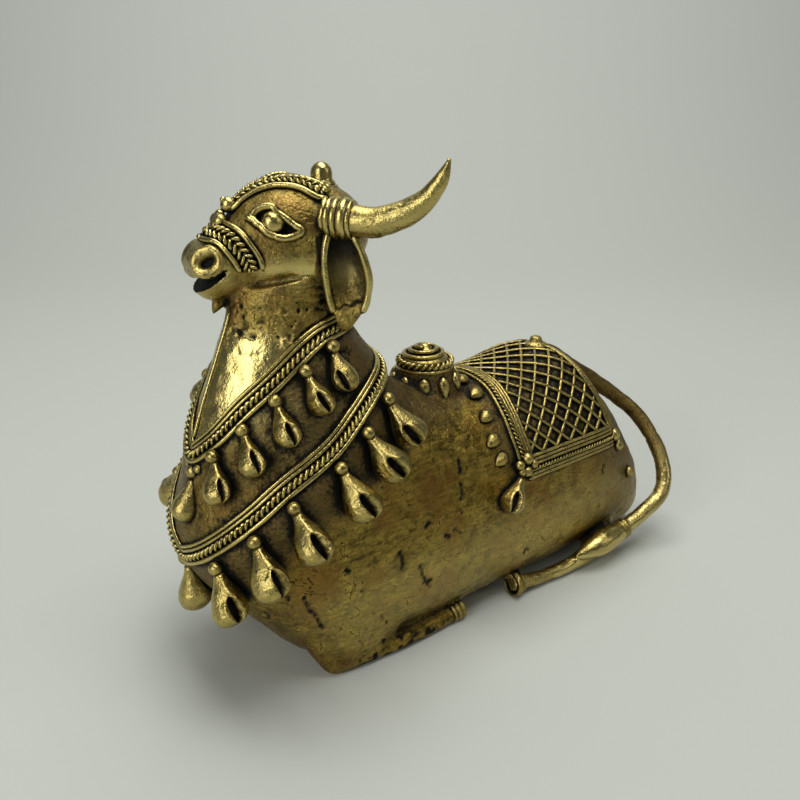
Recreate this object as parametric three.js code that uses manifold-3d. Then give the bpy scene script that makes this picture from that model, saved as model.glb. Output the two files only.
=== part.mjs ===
import * as THREE from "three";
import { mergeVertices } from "three/addons/utils/BufferGeometryUtils.js";
import Module from "manifold-3d";

const wasm = await Module();
wasm.setup();

// Nandi bull, couched, cast in brass in one pour.
// Millimetres, Z up, the bull faces -X and its left side is -Y.

// Trunk and neck, from rump to throat: back point x z, belly or breast point x z, half width,
// share of the way to the breast where it is widest, fullness of the back, fullness of the breast
const TRUNK_SIDES = 22;
const TRUNK = [
  [83.5, 24.5, 84.0, 13.0, 8.0, 0.5, 2.0, 2.0],
  [80.2, 33.2, 84.0, 6.0, 17.5, 0.55, 2.1, 2.4],
  [73.2, 44.0, 82.0, 1.0, 24.5, 0.6, 2.1, 2.8],
  [64.2, 55.4, 76.5, -1.0, 27.7, 0.62, 2.1, 2.9],
  [55.2, 65.0, 66.0, -1.0, 30.0, 0.62, 2.1, 2.9],
  [46.0, 70.6, 51.0, -1.0, 31.5, 0.6, 2.2, 2.9],
  [28.0, 67.6, 32.0, -1.0, 31.5, 0.6, 2.3, 2.9],
  [10.0, 67.0, 12.0, -1.0, 31.0, 0.6, 2.3, 2.9],
  [-5.0, 68.0, -8.0, -1.0, 30.5, 0.6, 2.3, 2.9],
  [-14.0, 71.0, -28.0, -1.0, 30.0, 0.6, 2.3, 3.0],
  [-18.0, 73.5, -46.0, -0.5, 29.5, 0.6, 2.2, 3.2],
  [-20.5, 75.5, -59.5, 3.5, 29.0, 0.6, 2.2, 3.2],
  [-22.5, 77.0, -71.0, 16.5, 28.5, 0.6, 2.2, 2.9],
  [-24.0, 79.0, -82.0, 30.0, 28.0, 0.58, 2.2, 2.3],
  [-25.5, 81.5, -85.8, 42.5, 26.5, 0.56, 2.2, 2.0],
  [-27.5, 84.5, -83.5, 54.0, 24.0, 0.54, 2.2, 1.9],
  [-30.0, 88.5, -81.0, 65.0, 21.0, 0.52, 2.2, 1.8],
  [-33.0, 93.0, -77.2, 76.0, 17.4, 0.5, 2.2, 1.75],
  [-36.0, 98.5, -72.6, 87.0, 14.4, 0.5, 2.2, 1.75],
  [-38.5, 104.5, -68.0, 98.0, 12.4, 0.5, 2.2, 1.8],
  [-41.0, 111.0, -65.0, 107.0, 11.5, 0.5, 2.2, 2.0],
];

// Knee of each foreleg: height, front x, back x, distance from the middle, half width
const KNEE = [
  [38.0, -72.0, -24.0, 13.0, 13.0],
  [26.0, -69.0, -22.0, 16.0, 12.0],
  [15.0, -64.5, -24.0, 18.5, 10.0],
  [7.0, -61.0, -30.0, 20.5, 7.5],
  [2.0, -58.5, -38.0, 21.3, 5.0],
  [-1.0, -56.0, -44.0, 21.5, 3.5],
];

// Head, nape to nose: x, top z, bottom z, half width
const HEAD_TURN = 12;
const HEAD_PIVOT = [-46, 0];
const HEAD_FULL = 2.3;
const SKULL = [
  [-29.5, 123.0, 112.0, 5.0],
  [-33.0, 127.3, 106.5, 9.5],
  [-38.5, 130.4, 103.5, 12.0],
  [-44.0, 131.6, 102.5, 13.0],
  [-50.0, 131.6, 102.8, 12.7],
  [-56.0, 130.0, 103.2, 11.2],
  [-60.5, 127.4, 103.6, 9.5],
  [-64.0, 123.8, 103.8, 8.3],
  [-67.5, 120.6, 103.9, 7.6],
  [-71.0, 118.4, 104.2, 7.2],
  [-73.6, 116.6, 105.2, 6.2],
  [-75.2, 114.4, 106.6, 3.8],
];

// The open mouth: a wedge that rises to its corner, cut in as far as the teeth
const MOUTH = { corner: [-64.8, 112.3], upper: [-77.0, 109.2], lower: [-77.0, 106.9], half: 10 };
const MOUTH_CORE = { narrower: 0.62, behind: 3.4 };
const CHIN_TUFT = [[-67.2, 0, 104.5], [-68.6, 0, 102.0], [-69.8, 0, 100.0]];
const CHIN_RADII = [2.0, 1.5, 0.4];

// Horn: middle line and thickness, root to tip; the right one is a stub in its cuff
const HORN = [
  [-43.5, -9.0, 123.6],
  [-40.6, -13.6, 123.2],
  [-34.2, -19.5, 122.6],
  [-28.9, -23.5, 124.4],
  [-26.4, -25.5, 126.3],
  [-23.9, -27.5, 128.9],
  [-21.7, -29.4, 133.0],
  [-20.3, -30.8, 137.6],
];
const HORN_RADII = [3.8, 3.8, 3.7, 3.4, 3.0, 2.5, 1.9, 0.5];
const HORN_STUB = 3;
const CUFF_RADII = [4.1, 4.8, 4.3, 4.7, 3.8];
const CUFF_LENGTH = 6.4;

// Ear, a cupped leaf: middle line and half width, and the way its hollow faces
const EAR = [
  [-41.6, -12.0, 121.0],
  [-41.2, -14.6, 117.0],
  [-40.2, -16.2, 110.0],
  [-40.2, -16.4, 102.5],
  [-41.0, -15.6, 95.5],
];
const EAR_WIDTHS = [2.0, 4.4, 5.4, 4.2, 1.0];
const EAR_FACING = [-0.45, -0.89];
const EAR_CUP = 2.6;
const EAR_THICK = 1.5;

// Eye: the almond of its rim as x, z on the side of the head, and its ball
const EYE_RIM = [
  [-61.4, 124.3],
  [-58.7, 125.9],
  [-56.1, 126.6],
  [-53.9, 125.3],
  [-51.9, 123.0],
  [-49.6, 120.2],
  [-52.0, 119.0],
  [-55.0, 118.6],
  [-57.6, 119.5],
  [-59.7, 121.7],
];
const EYE = { ball: [-56.2, 122.9], radius: 2.6, wire: 1.4 };
const NOSEBAND = { middle: [-63.5, 114.5], slant: [-6.7, 8.7], half: 112, width: 5.6, height: 1.1 };
const CROWN = [[-64.6, 0.6], [-61.0, 3.4], [-57.0, 5.0], [-52.0, 5.6], [-47.0, 7.2], [-42.4, 9.6]];
const CROWN_BAND = { width: 4.6, height: 1.4 };
const KNOB = [[126.0, 3.0], [130.6, 3.1], [131.8, 3.1], [132.0, 2.3], [134.2, 2.0], [135.2, 0.9]];
const KNOB_X = -39.6;
const BROW_BEAD = { at: [-63.6, 0, 126.6], radius: 2.5 };
const BROW_DROP = [[-64.6, 0, 124.6], [-66.6, 0, 123.2], [-68.8, 0, 121.0]];
const BROW_DROP_RADII = [1.2, 2.1, 0.9];

// Legs folded along the floor: middle lines and radii, left side, knee or hock to hoof
const FORELEG = [
  [-56, -21.5, 4.2],
  [-48, -24.0, 3.2],
  [-36, -25.8, 2.4],
  [-20, -26.2, 2.5],
  [-10.5, -25.6, 3.1],
];
const FORELEG_RADII = [4.4, 3.2, 2.4, 2.3, 2.8];
const HIND_LEG = [
  [60, -21, 11.0],
  [53, -28, 6.2],
  [44, -31.0, 3.4],
  [34, -31.0, 2.7],
  [22, -29.9, 2.8],
  [10.0, -28.3, 4.2],
];
const HIND_RADII = [6.5, 4.8, 3.2, 2.6, 2.5, 2.9];
const HOOF_CUFF = [0.75, 1.0, 1.0, 0.75];
const FORE_HOOF = { radius: 3.3, length: 3.4 };
const HIND_HOOF = { radius: 4.2, length: 2.8 };

const TAIL = [
  [47.5, 0, 69.0],
  [54, -1, 66.6],
  [62, -2.5, 61.0],
  [70.5, -5, 54.8],
  [79, -9.5, 48.0],
  [84.0, -16, 42.0],
  [86.0, -22, 35.6],
  [85.6, -28, 28.8],
  [82.8, -33, 22.0],
  [77.4, -35.5, 16.5],
  [67.5, -35.2, 12.2],
  [57.6, -34.5, 9.6],
];
const TAIL_RADII = [2.6, 2.85, 2.85, 2.85, 2.7];
const TUFT = [[61, -34.8, 10.4], [56.5, -34.5, 9.5], [50, -34.4, 8.6], [43, -34.2, 7.8], [35, -33.4, 6.6]];
const TUFT_RADII = [2.4, 3.4, 4.0, 3.4, 0.7];
const TAIL_KNOB = { x: 48.0, rise: 1.3, radius: 2.8 };

// Hump with its cap: height and radius round an upright axis
const HUMP_X = -3.6;
const HUMP = [
  [58.0, 14.0],
  [66.0, 11.6],
  [71.5, 9.2],
  [72.0, 9.6],
  [73.8, 9.6],
  [74.3, 8.2],
  [76.6, 5.0],
  [78.2, 2.2],
  [79.8, 1.4],
];

// Necklaces: height of the band by the angle round the neck, front to back, and where its bells hang
const BAND = { width: 5.4, height: 1.5, steps: 20 };
const NECK_X = -56;
const NECKLACES = [
  {
    rise: [[0, 65.5], [16, 69.5], [35, 77], [60, 84.3], [86, 90], [105, 92.5], [125, 94.0], [180, 95]],
    left: [-16, -35, -60, -87, -124],
    right: [-2, 46, 80, 118],
    size: 12.6,
  },
  {
    rise: [[0, 36.5], [18, 40.5], [44, 51], [65, 59.5], [95, 66], [120, 72.5], [145, 77.5], [180, 81]],
    left: [-18, -44, -65, -95, -120, -145],
    right: [1, 44, 68, 95, 120, 145],
    size: 14.6,
  },
];
const BELL_HANG = 0.3;
const BELL = [[0.14, -0.02], [0.42, 0.09], [0.24, 0.21], [1.0, 0.66], [0.45, 0.98]];
const BELL_RADIUS = 0.31;

// Saddle cloth: where its borders cross the back and its lower corners, and the border strips
const CLOTH = {
  frontTop: 16.0,
  frontSide: 12.6,
  rearTop: 48.2,
  rearSide: 56.4,
  slope: 62,
  axis: 30,
  width: 5.0,
  lowWidth: 7.4,
  height: 1.2,
};
const CORNER_BELL = { size: 13.0, slope: 67, lean: -0.6 };

// Everything below the level that the bull lies on is cut away, which leaves its flat underside
const BELOW_FLOOR = { length: 400, width: 200, depth: 20 };

const rad = THREE.MathUtils.degToRad;
const vec = (x, y, z) => new THREE.Vector3(x, y, z);
const toVec = (list) => list.map((p) => vec(...p));
const mirrored = (list) => list.map(([x, y, z]) => [x, -y, z]);
const power = (value, fullness) => Math.sign(value) * Math.abs(value) ** (2 / fullness);

// Closed skin over rings of points; a loop joins its last ring to the first
function skin(rings, loop = false) {
  const count = rings[0].length;
  const position = [];
  const index = [];
  rings.flat().forEach((p) => position.push(p.x, p.y, p.z));
  const spans = loop ? rings.length : rings.length - 1;
  for (let i = 0; i < spans; i += 1) {
    const next = ((i + 1) % rings.length) * count;
    for (let j = 0; j < count; j += 1) {
      const k = (j + 1) % count;
      index.push(i * count + j, i * count + k, next + k);
      index.push(i * count + j, next + k, next + j);
    }
  }
  for (const end of loop ? [] : [0, rings.length - 1]) {
    const middle = rings[end].reduce((sum, p) => sum.add(p), vec(0, 0, 0)).divideScalar(count);
    const tip = position.length / 3;
    position.push(middle.x, middle.y, middle.z);
    for (let j = 0; j < count; j += 1) {
      const a = end * count + j;
      const b = end * count + ((j + 1) % count);
      index.push(...(end === 0 ? [tip, b, a] : [tip, a, b]));
    }
  }
  const geometry = new THREE.BufferGeometry();
  geometry.setAttribute("position", new THREE.Float32BufferAttribute(position, 3));
  geometry.setIndex(index);
  return geometry;
}

function toSolid(geometry) {
  const position = geometry.attributes.position.array;
  const triangles = new Uint32Array(geometry.index.array);
  const mesh = () => new wasm.Mesh({ numProp: 3, vertProperties: position, triVerts: triangles });
  const build = () => new wasm.Manifold(mesh());
  const solid = build();
  if (solid.volume() > 0) return solid;
  for (let i = 0; i < triangles.length; i += 3) triangles.subarray(i + 1, i + 3).reverse();
  return build();
}

const ellipse = (count, place) =>
  Array.from({ length: count }, (_, j) => {
    const angle = (2 * Math.PI * j) / count;
    return place(Math.cos(angle), Math.sin(angle));
  });

// Round rod along a smooth line, its radius read along the way
function rod(points, radii, sides, steps) {
  const line = new THREE.CatmullRomCurve3(toVec(points), false, "centripetal");
  const frames = line.computeFrenetFrames(steps, false);
  const size = new THREE.CatmullRomCurve3(radii.map((r, i) => vec(i, r, 0)), false, "centripetal");
  const rings = Array.from({ length: steps + 1 }, (_, i) => {
    const middle = line.getPointAt(i / steps);
    const r = Math.max(0.3, size.getPoint(i / steps).y);
    const [across, over] = [frames.normals[i], frames.binormals[i]];
    return ellipse(sides, (c, s) =>
      middle.clone().addScaledVector(across, r * c).addScaledVector(over, r * s)
    );
  });
  return skin(rings);
}

// Ringed collar round an axis from one point to another
function collar(from, to, radii, sides) {
  const axis = to.clone().sub(from);
  const turn = new THREE.Quaternion().setFromUnitVectors(vec(0, 0, 1), axis.clone().normalize());
  return skin(
    radii.map((r, i) =>
      ellipse(sides, (c, s) =>
        vec(r * c, r * s, 0).applyQuaternion(turn).add(from).addScaledVector(axis, i / (radii.length - 1))
      )
    )
  );
}

const trunk = skin(
  TRUNK.map(([xb, zb, xf, zf, half, widest, backFull, frontFull]) =>
    ellipse(TRUNK_SIDES, (c, s) => {
      const full = c > 0 ? backFull : frontFull;
      const along = widest - power(c, full) * (c > 0 ? widest : 1 - widest);
      return vec(xb + (xf - xb) * along, half * power(s, full), zb + (zf - zb) * along);
    })
  )
);

const knee = (side) =>
  skin(
    KNEE.map(([z, front, back, out, half]) =>
      ellipse(10, (c, s) => vec((front + back) / 2 + ((back - front) / 2) * c, side * out + half * s, z))
    )
  );

const headPart = (rows, sides) =>
  skin(
    rows.map(([x, top, bottom, half]) =>
      ellipse(sides, (c, s) => {
        const [middle, high] = [(top + bottom) / 2, (top - bottom) / 2];
        return vec(x, half * power(c, HEAD_FULL), middle + high * power(s, HEAD_FULL));
      })
    )
  );

// Everything on the head is laid out facing -X and then turned about the neck
const turned = (geometry) => {
  geometry.translate(-HEAD_PIVOT[0], -HEAD_PIVOT[1], 0);
  geometry.rotateZ(-rad(HEAD_TURN));
  geometry.translate(HEAD_PIVOT[0], HEAD_PIVOT[1], 0);
  return geometry;
};

const skull = headPart(SKULL, 16);

const casts = new Map();
function touch(geometry, origin, direction) {
  if (!casts.has(geometry)) {
    const mesh = new THREE.Mesh(geometry, new THREE.MeshBasicMaterial({ side: THREE.DoubleSide }));
    mesh.updateMatrixWorld();
    casts.set(geometry, mesh);
  }
  const caster = new THREE.Raycaster(origin, direction.clone().normalize());
  const hit = caster.intersectObject(casts.get(geometry))[0];
  const normal = hit.face.normal.clone();
  if (normal.dot(direction) > 0) normal.negate();
  return { point: hit.point, normal };
}

// Raised strip lying on a surface along the touched points
const FLAT = [[-0.8, -1], [-1, 0.6], [0, 1.1], [1, 0.6], [0.8, -1]];
const WIRE = [[-1, -0.8], [0, 1], [1, -0.8]];
function strip(points, width, height, loop, section = FLAT) {
  const rings = points.map(({ point, normal }, i) => {
    const before = points[loop ? (i + points.length - 1) % points.length : Math.max(0, i - 1)].point;
    const after = points[loop ? (i + 1) % points.length : Math.min(points.length - 1, i + 1)].point;
    const across = after.clone().sub(before).cross(normal).normalize();
    const corner = ([a, b]) =>
      point.clone().addScaledVector(across, (a * width) / 2).addScaledVector(normal, b * height);
    return section.map(corner);
  });
  return skin(rings, loop);
}

const ball = (at, r, count) =>
  skin([-0.94, -0.5, 0.5, 0.94].map((h) => ellipse(count, (c, s) => {
    const flat = r * Math.sqrt(1 - h * h);
    return vec(at.x + flat * c, at.y + flat * s, at.z + r * h);
  })));

const solids = [];
const add = (...list) => list.forEach((geometry) => solids.push(toSolid(geometry)));
const addToHead = (...list) => add(...list.map(turned));

add(trunk);
for (const side of [1, -1]) {
  const place = (list) => (side === 1 ? list : mirrored(list));
  add(knee(side), rod(place(FORELEG), FORELEG_RADII, 7, 4), rod(place(HIND_LEG), HIND_RADII, 7, 5));
  for (const [leg, { radius, length }] of [[place(FORELEG), FORE_HOOF], [place(HIND_LEG), HIND_HOOF]]) {
    const end = vec(...leg.at(-1));
    const start = vec(...leg.at(-2)).sub(end).setLength(length).add(end);
    add(collar(start, end, HOOF_CUFF.map((share) => share * radius), 8));
  }
}
add(rod(TAIL, TAIL_RADII, 6, 13), rod(TUFT, TUFT_RADII, 6, 4));
const tailRoot = touch(trunk, vec(TAIL_KNOB.x, 0, 160), vec(0, 0, -1)).point;
add(ball(tailRoot.add(vec(0, 0, TAIL_KNOB.rise)), TAIL_KNOB.radius, 8));
add(skin(HUMP.map(([z, r]) => ellipse(12, (c, s) => vec(HUMP_X + r * c, r * s, z)))));

// Head
const EAR_SECTION = [[-1, 0], [-0.6, -1], [0, -1], [0.6, -1], [1, 0], [0.6, 1], [0, 1], [-0.6, 1]];
const ear = (side) => {
  const facing = vec(EAR_FACING[0], side * EAR_FACING[1], 0).normalize();
  const wide = vec(-facing.y, facing.x, 0);
  const place = side === 1 ? EAR : mirrored(EAR);
  return skin(
    place.map((p, i) =>
      EAR_SECTION.map(([s, face]) => {
        const sunk = EAR_CUP * (1 - s * s) * (EAR_WIDTHS[i] / Math.max(...EAR_WIDTHS));
        const depth = (face * EAR_THICK) / 2 - sunk;
        return vec(...p).addScaledVector(wide, s * EAR_WIDTHS[i]).addScaledVector(facing, depth);
      })
    )
  );
};

const core = headPart(SKULL.slice(6), 7);
core.translate(MOUTH_CORE.behind, 0, 0).scale(1, MOUTH_CORE.narrower, 1);
const mouthSide = (y) => [MOUTH.corner, MOUTH.upper, MOUTH.lower].map(([x, z]) => vec(x, y, z));
const wedge = skin([mouthSide(-MOUTH.half), mouthSide(MOUTH.half)]);
const open = toSolid(turned(skull.clone())).subtract(toSolid(turned(wedge)));
solids.push(open.add(toSolid(turned(core))));
addToHead(rod(CHIN_TUFT, CHIN_RADII, 6, 2));
addToHead(skin(KNOB.map(([z, r]) => ellipse(10, (c, s) => vec(KNOB_X + r * c, r * s, z)))));
addToHead(ball(vec(...BROW_BEAD.at), BROW_BEAD.radius, 8), rod(BROW_DROP, BROW_DROP_RADII, 6, 3));

const slant = vec(NOSEBAND.slant[0], 0, NOSEBAND.slant[1]).normalize();
const muzzleMiddle = vec(NOSEBAND.middle[0], 0, NOSEBAND.middle[1]);
const muzzle = Array.from({ length: 11 }, (_, i) => {
  const angle = rad(NOSEBAND.half * (i / 5 - 1));
  const out = slant.clone().multiplyScalar(Math.cos(angle)).add(vec(0, Math.sin(angle), 0));
  return touch(skull, muzzleMiddle.clone().addScaledVector(out, 40), out.clone().negate());
});
addToHead(strip(muzzle, NOSEBAND.width, NOSEBAND.height, false));

for (const side of [1, -1]) {
  const place = (list) => (side === 1 ? list : mirrored(list));
  const line = place(HORN);
  const root = vec(...line[1]);
  const out = vec(...line[2]).sub(root).setLength(CUFF_LENGTH);
  const kept = side === 1 ? HORN.length : HORN_STUB;
  addToHead(rod(line.slice(0, kept), HORN_RADII.slice(0, kept), 8, kept + 3));
  const [cuffStart, cuffEnd] = [-0.45, 0.55].map((share) => root.clone().addScaledVector(out, share));
  addToHead(collar(cuffStart, cuffEnd, CUFF_RADII, 8));
  addToHead(ear(side));
  const crown = CROWN.map(([x, y]) => touch(skull, vec(x, -side * y, 160), vec(0, 0, -1)));
  addToHead(strip(crown, CROWN_BAND.width, CROWN_BAND.height, false));
  const eyeAt = (x, z) => touch(skull, vec(x, -side * 40, z), vec(0, side, 0));
  const rim = EYE_RIM.map(([x, z]) => eyeAt(x, z));
  addToHead(strip(rim, EYE.wire, EYE.wire * 0.7, true, WIRE));
  addToHead(ball(eyeAt(...EYE.ball).point, EYE.radius, 8));
}

// Bell with its bead, hanging from a point on a surface
function bell(at, normal, hang, size) {
  const outward = normal.clone().addScaledVector(hang, -normal.dot(hang)).normalize();
  const sideways = hang.clone().cross(outward);
  const top = at.clone().addScaledVector(outward, 1.0);
  return skin(
    BELL.map(([r, t]) =>
      ellipse(6, (c, s) =>
        top
          .clone()
          .addScaledVector(hang, t * size)
          .addScaledVector(outward, (r * c * BELL_RADIUS + t * 0.12) * size)
          .addScaledVector(sideways, r * s * BELL_RADIUS * size)
      )
    )
  );
}

for (const { rise, left, right, size } of NECKLACES) {
  const height = (degrees) => {
    const after = rise.findIndex(([at]) => at >= Math.abs(degrees));
    const [a0, z0] = rise[Math.max(0, after - 1)];
    const [a1, z1] = rise[after];
    return a1 === a0 ? z1 : z0 + ((z1 - z0) * (Math.abs(degrees) - a0)) / (a1 - a0);
  };
  const ring = (degrees, lower = 0) => {
    const out = vec(-Math.cos(rad(degrees)), Math.sin(rad(degrees)), 0);
    const origin = vec(NECK_X, 0, height(degrees) - lower).addScaledVector(out, 90);
    return touch(trunk, origin, out.clone().negate());
  };
  const turns = Array.from({ length: BAND.steps }, (_, i) => {
    const turn = (i * 360) / BAND.steps;
    return turn < 180 ? turn : turn - 360;
  });
  add(strip(turns.map((degrees) => ring(degrees)), BAND.width, BAND.height, true));
  for (const degrees of [...left, ...right]) {
    const along = ring(degrees + 4).point.sub(ring(degrees - 4).point).normalize();
    const { normal } = ring(degrees, 2);
    const square = along.clone().cross(normal).normalize();
    if (square.z > 0) square.negate();
    const down = vec(0, 0, -1).addScaledVector(normal, normal.z).normalize();
    const hang = down.multiplyScalar(1 - BELL_HANG).addScaledVector(square, BELL_HANG).normalize();
    const edge = ring(degrees).point.addScaledVector(square, BAND.width * 0.62);
    const at = touch(trunk, edge.addScaledVector(normal, 8), normal.clone().negate());
    add(bell(at.point, at.normal, hang, size));
  }
}

// Saddle cloth borders, with a bell at each front corner
const onBack = (x, slope) => {
  const out = vec(0, Math.sin(rad(slope)), Math.cos(rad(slope)));
  return touch(trunk, vec(x, 0, CLOTH.axis).addScaledVector(out, 80), out.clone().negate());
};
const front = (v) => CLOTH.frontTop + (CLOTH.frontSide - CLOTH.frontTop) * v * v;
const rear = (v) => CLOTH.rearTop + (CLOTH.rearSide - CLOTH.rearTop) * v * v;
const across = Array.from({ length: 9 }, (_, i) => i / 4 - 1);
add(strip(across.map((v) => onBack(front(v), v * CLOTH.slope)), CLOTH.width, CLOTH.height, false));
add(strip(across.map((v) => onBack(rear(v), v * CLOTH.slope)), CLOTH.width * 0.6, CLOTH.height, false));
for (const side of [-1, 1]) {
  const run = CLOTH.rearSide - CLOTH.frontSide;
  const edge = [0, 1, 2, 3].map((i) => CLOTH.frontSide + (run * i) / 3);
  add(strip(edge.map((x) => onBack(x, side * CLOTH.slope)), CLOTH.lowWidth, CLOTH.height, false));
  const corner = onBack(CLOTH.frontSide - 1, side * CORNER_BELL.slope);
  const down = vec(CORNER_BELL.lean, 0, -1).addScaledVector(corner.normal, corner.normal.z).normalize();
  add(bell(corner.point, corner.normal, down, CORNER_BELL.size));
}

let bull = solids[0];
solids.slice(1).forEach((solid) => {
  bull = bull.add(solid);
});
const { length: belowLength, width: belowWidth, depth: belowDepth } = BELOW_FLOOR;
const below = new THREE.BoxGeometry(belowLength, belowWidth, belowDepth).toNonIndexed();
below.deleteAttribute("normal");
below.deleteAttribute("uv");
bull = bull.subtract(toSolid(mergeVertices(below.translate(0, 0, -belowDepth / 2))));

const mesh = bull.getMesh();
const geometry = new THREE.BufferGeometry();
geometry.setAttribute("position", new THREE.Float32BufferAttribute(mesh.vertProperties, 3));
geometry.setIndex(Array.from(mesh.triVerts));
geometry.computeBoundingBox();
const { min, max } = geometry.boundingBox;
geometry.translate(-(min.x + max.x) / 2, -(min.y + max.y) / 2, -min.z);
geometry.computeVertexNormals();

const brass = new THREE.MeshStandardMaterial({ color: 0x8f7c3a, roughness: 0.45, metalness: 0.9 });
const nandi = new THREE.Mesh(geometry, brass);
nandi.name = "nandi_bull";
const group = new THREE.Group();
group.add(nandi);

export default group;
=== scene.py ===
import math

import bmesh
import bpy
import numpy as np
from mathutils import Matrix, Vector
from mathutils.bvhtree import BVHTree
from mathutils.kdtree import KDTree


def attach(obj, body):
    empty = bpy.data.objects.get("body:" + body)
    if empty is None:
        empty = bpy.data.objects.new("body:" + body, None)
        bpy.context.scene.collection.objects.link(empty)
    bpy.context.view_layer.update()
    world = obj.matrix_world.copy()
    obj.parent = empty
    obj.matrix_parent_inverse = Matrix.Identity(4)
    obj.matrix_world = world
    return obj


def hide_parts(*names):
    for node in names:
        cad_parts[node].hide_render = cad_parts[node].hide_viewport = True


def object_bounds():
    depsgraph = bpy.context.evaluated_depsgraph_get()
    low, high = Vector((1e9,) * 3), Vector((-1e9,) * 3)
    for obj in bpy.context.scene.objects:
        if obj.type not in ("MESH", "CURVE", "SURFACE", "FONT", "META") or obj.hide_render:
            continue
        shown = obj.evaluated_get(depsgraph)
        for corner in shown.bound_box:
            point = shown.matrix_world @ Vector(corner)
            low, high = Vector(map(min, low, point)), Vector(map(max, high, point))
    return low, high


bl_info = {
    "name": "Nandi bull figure",
    "version": (1, 0, 0),
    "blender": (4, 5, 0),
    "location": "View3D > Sidebar > Nandi",
    "description": "A couched bull cast in brass, with bell necklaces, a crown and a latticed saddle cloth",
    "category": "Object",
}

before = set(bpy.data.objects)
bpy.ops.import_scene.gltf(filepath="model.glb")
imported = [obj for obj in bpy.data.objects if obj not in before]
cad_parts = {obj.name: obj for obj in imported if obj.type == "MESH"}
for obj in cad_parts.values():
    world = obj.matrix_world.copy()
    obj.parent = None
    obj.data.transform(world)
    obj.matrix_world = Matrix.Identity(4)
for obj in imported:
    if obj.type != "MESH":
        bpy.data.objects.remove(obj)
CAD_BOX = [list(corner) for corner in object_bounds()]

# The figure is laid out in millimetres, facing -X with its left side to -Y, and moved by SHIFT
# into the frame's place before it is turned into metres.
SHIFT = np.array([-0.187, 1.0062, 0.0])
# The figure's own box in those millimetres, a hair inside the frame's but down to its floor
HAIR = 0.03
ROOM = np.array(CAD_BOX) * 1000 - SHIFT + np.array([[HAIR, HAIR, 0.0], [-HAIR, -HAIR, -HAIR]])

# Trunk and neck, rump to throat: back point x z, belly or breast point x z, half width,
# share of the way to the breast where it is widest, fullness of the back, fullness of the breast
TRUNK = [
    [83.5, 24.5, 84.0, 13.0, 8.0, 0.5, 2.0, 2.0],
    [80.2, 33.2, 84.0, 6.0, 17.5, 0.55, 2.1, 2.4],
    [73.2, 44.0, 82.0, 1.0, 24.5, 0.6, 2.1, 2.8],
    [64.2, 55.4, 76.5, -1.0, 27.7, 0.62, 2.1, 2.9],
    [55.2, 65.0, 66.0, -1.0, 30.0, 0.62, 2.1, 2.9],
    [46.0, 70.6, 51.0, -1.0, 31.5, 0.6, 2.2, 2.9],
    [28.0, 67.6, 32.0, -1.0, 31.5, 0.6, 2.3, 2.9],
    [10.0, 67.0, 12.0, -1.0, 31.0, 0.6, 2.3, 2.9],
    [-5.0, 68.0, -8.0, -1.0, 30.5, 0.6, 2.3, 2.9],
    [-14.0, 71.0, -28.0, -1.0, 30.0, 0.6, 2.3, 3.0],
    [-18.0, 73.5, -46.0, -0.5, 29.5, 0.6, 2.2, 3.2],
    [-20.5, 75.5, -59.5, 3.5, 29.0, 0.6, 2.2, 3.2],
    [-22.5, 77.0, -71.0, 16.5, 28.5, 0.6, 2.2, 2.9],
    [-24.0, 79.0, -82.0, 30.0, 28.0, 0.58, 2.2, 2.3],
    [-25.5, 81.5, -85.8, 42.5, 26.5, 0.56, 2.2, 2.0],
    [-27.5, 84.5, -83.5, 54.0, 24.0, 0.54, 2.2, 1.9],
    [-30.0, 88.5, -81.0, 65.0, 21.0, 0.52, 2.2, 1.8],
    [-33.0, 93.0, -77.2, 76.0, 17.4, 0.5, 2.2, 1.75],
    [-36.0, 98.5, -72.6, 87.0, 14.4, 0.5, 2.2, 1.75],
    [-38.5, 104.5, -68.0, 98.0, 12.4, 0.5, 2.2, 1.8],
    [-41.0, 111.0, -65.0, 107.0, 11.5, 0.5, 2.2, 2.0],
]
# Knee of each foreleg: height, front x, back x, distance from the middle, half width
KNEE = [
    [38.0, -72.0, -24.0, 13.0, 13.0],
    [26.0, -69.0, -22.0, 16.0, 12.0],
    [15.0, -64.5, -24.0, 18.5, 10.0],
    [7.0, -61.0, -30.0, 20.5, 7.5],
    [2.0, -58.5, -38.0, 21.3, 5.0],
    [-1.0, -56.0, -44.0, 21.5, 3.5],
]
# Legs folded along the floor, knee or hock to hoof: x, distance from the middle, height, radius
FORELEG = [
    [-56.0, 21.5, 4.2, 4.4],
    [-48.0, 24.0, 3.2, 3.2],
    [-36.0, 25.8, 2.4, 2.3],
    [-20.0, 26.2, 2.5, 2.15],
    [-10.5, 25.6, 3.1, 2.6],
]
HIND_LEG = [
    [60.0, 21.0, 11.0, 6.5],
    [53.0, 28.0, 6.2, 4.8],
    [44.0, 31.0, 3.4, 3.0],
    [34.0, 31.0, 2.7, 2.3],
    [22.0, 29.9, 2.8, 2.2],
    [10.0, 28.3, 4.2, 2.7],
]
# Tail and its leaf-shaped tuft: x, y, z, radius
TAIL = [
    [47.5, 0.0, 69.0, 2.6],
    [54.0, -1.0, 66.6, 2.69],
    [62.0, -2.5, 61.0, 2.78],
    [70.5, -5.0, 54.8, 2.82],
    [79.0, -9.5, 48.0, 2.84],
    [84.0, -16.0, 42.0, 2.85],
    [86.0, -22.0, 35.6, 2.85],
    [85.6, -28.0, 28.8, 2.84],
    [82.8, -33.0, 22.0, 2.82],
    [77.4, -35.5, 16.5, 2.79],
    [67.5, -35.2, 12.2, 2.75],
    [57.6, -34.5, 9.6, 2.7],
]
TUFT = [
    [61.0, -34.8, 10.4, 2.4],
    [56.5, -34.5, 9.5, 3.4],
    [50.0, -34.4, 8.6, 4.0],
    [43.0, -34.2, 7.8, 3.4],
    [35.0, -33.4, 6.6, 0.7],
]
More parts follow.
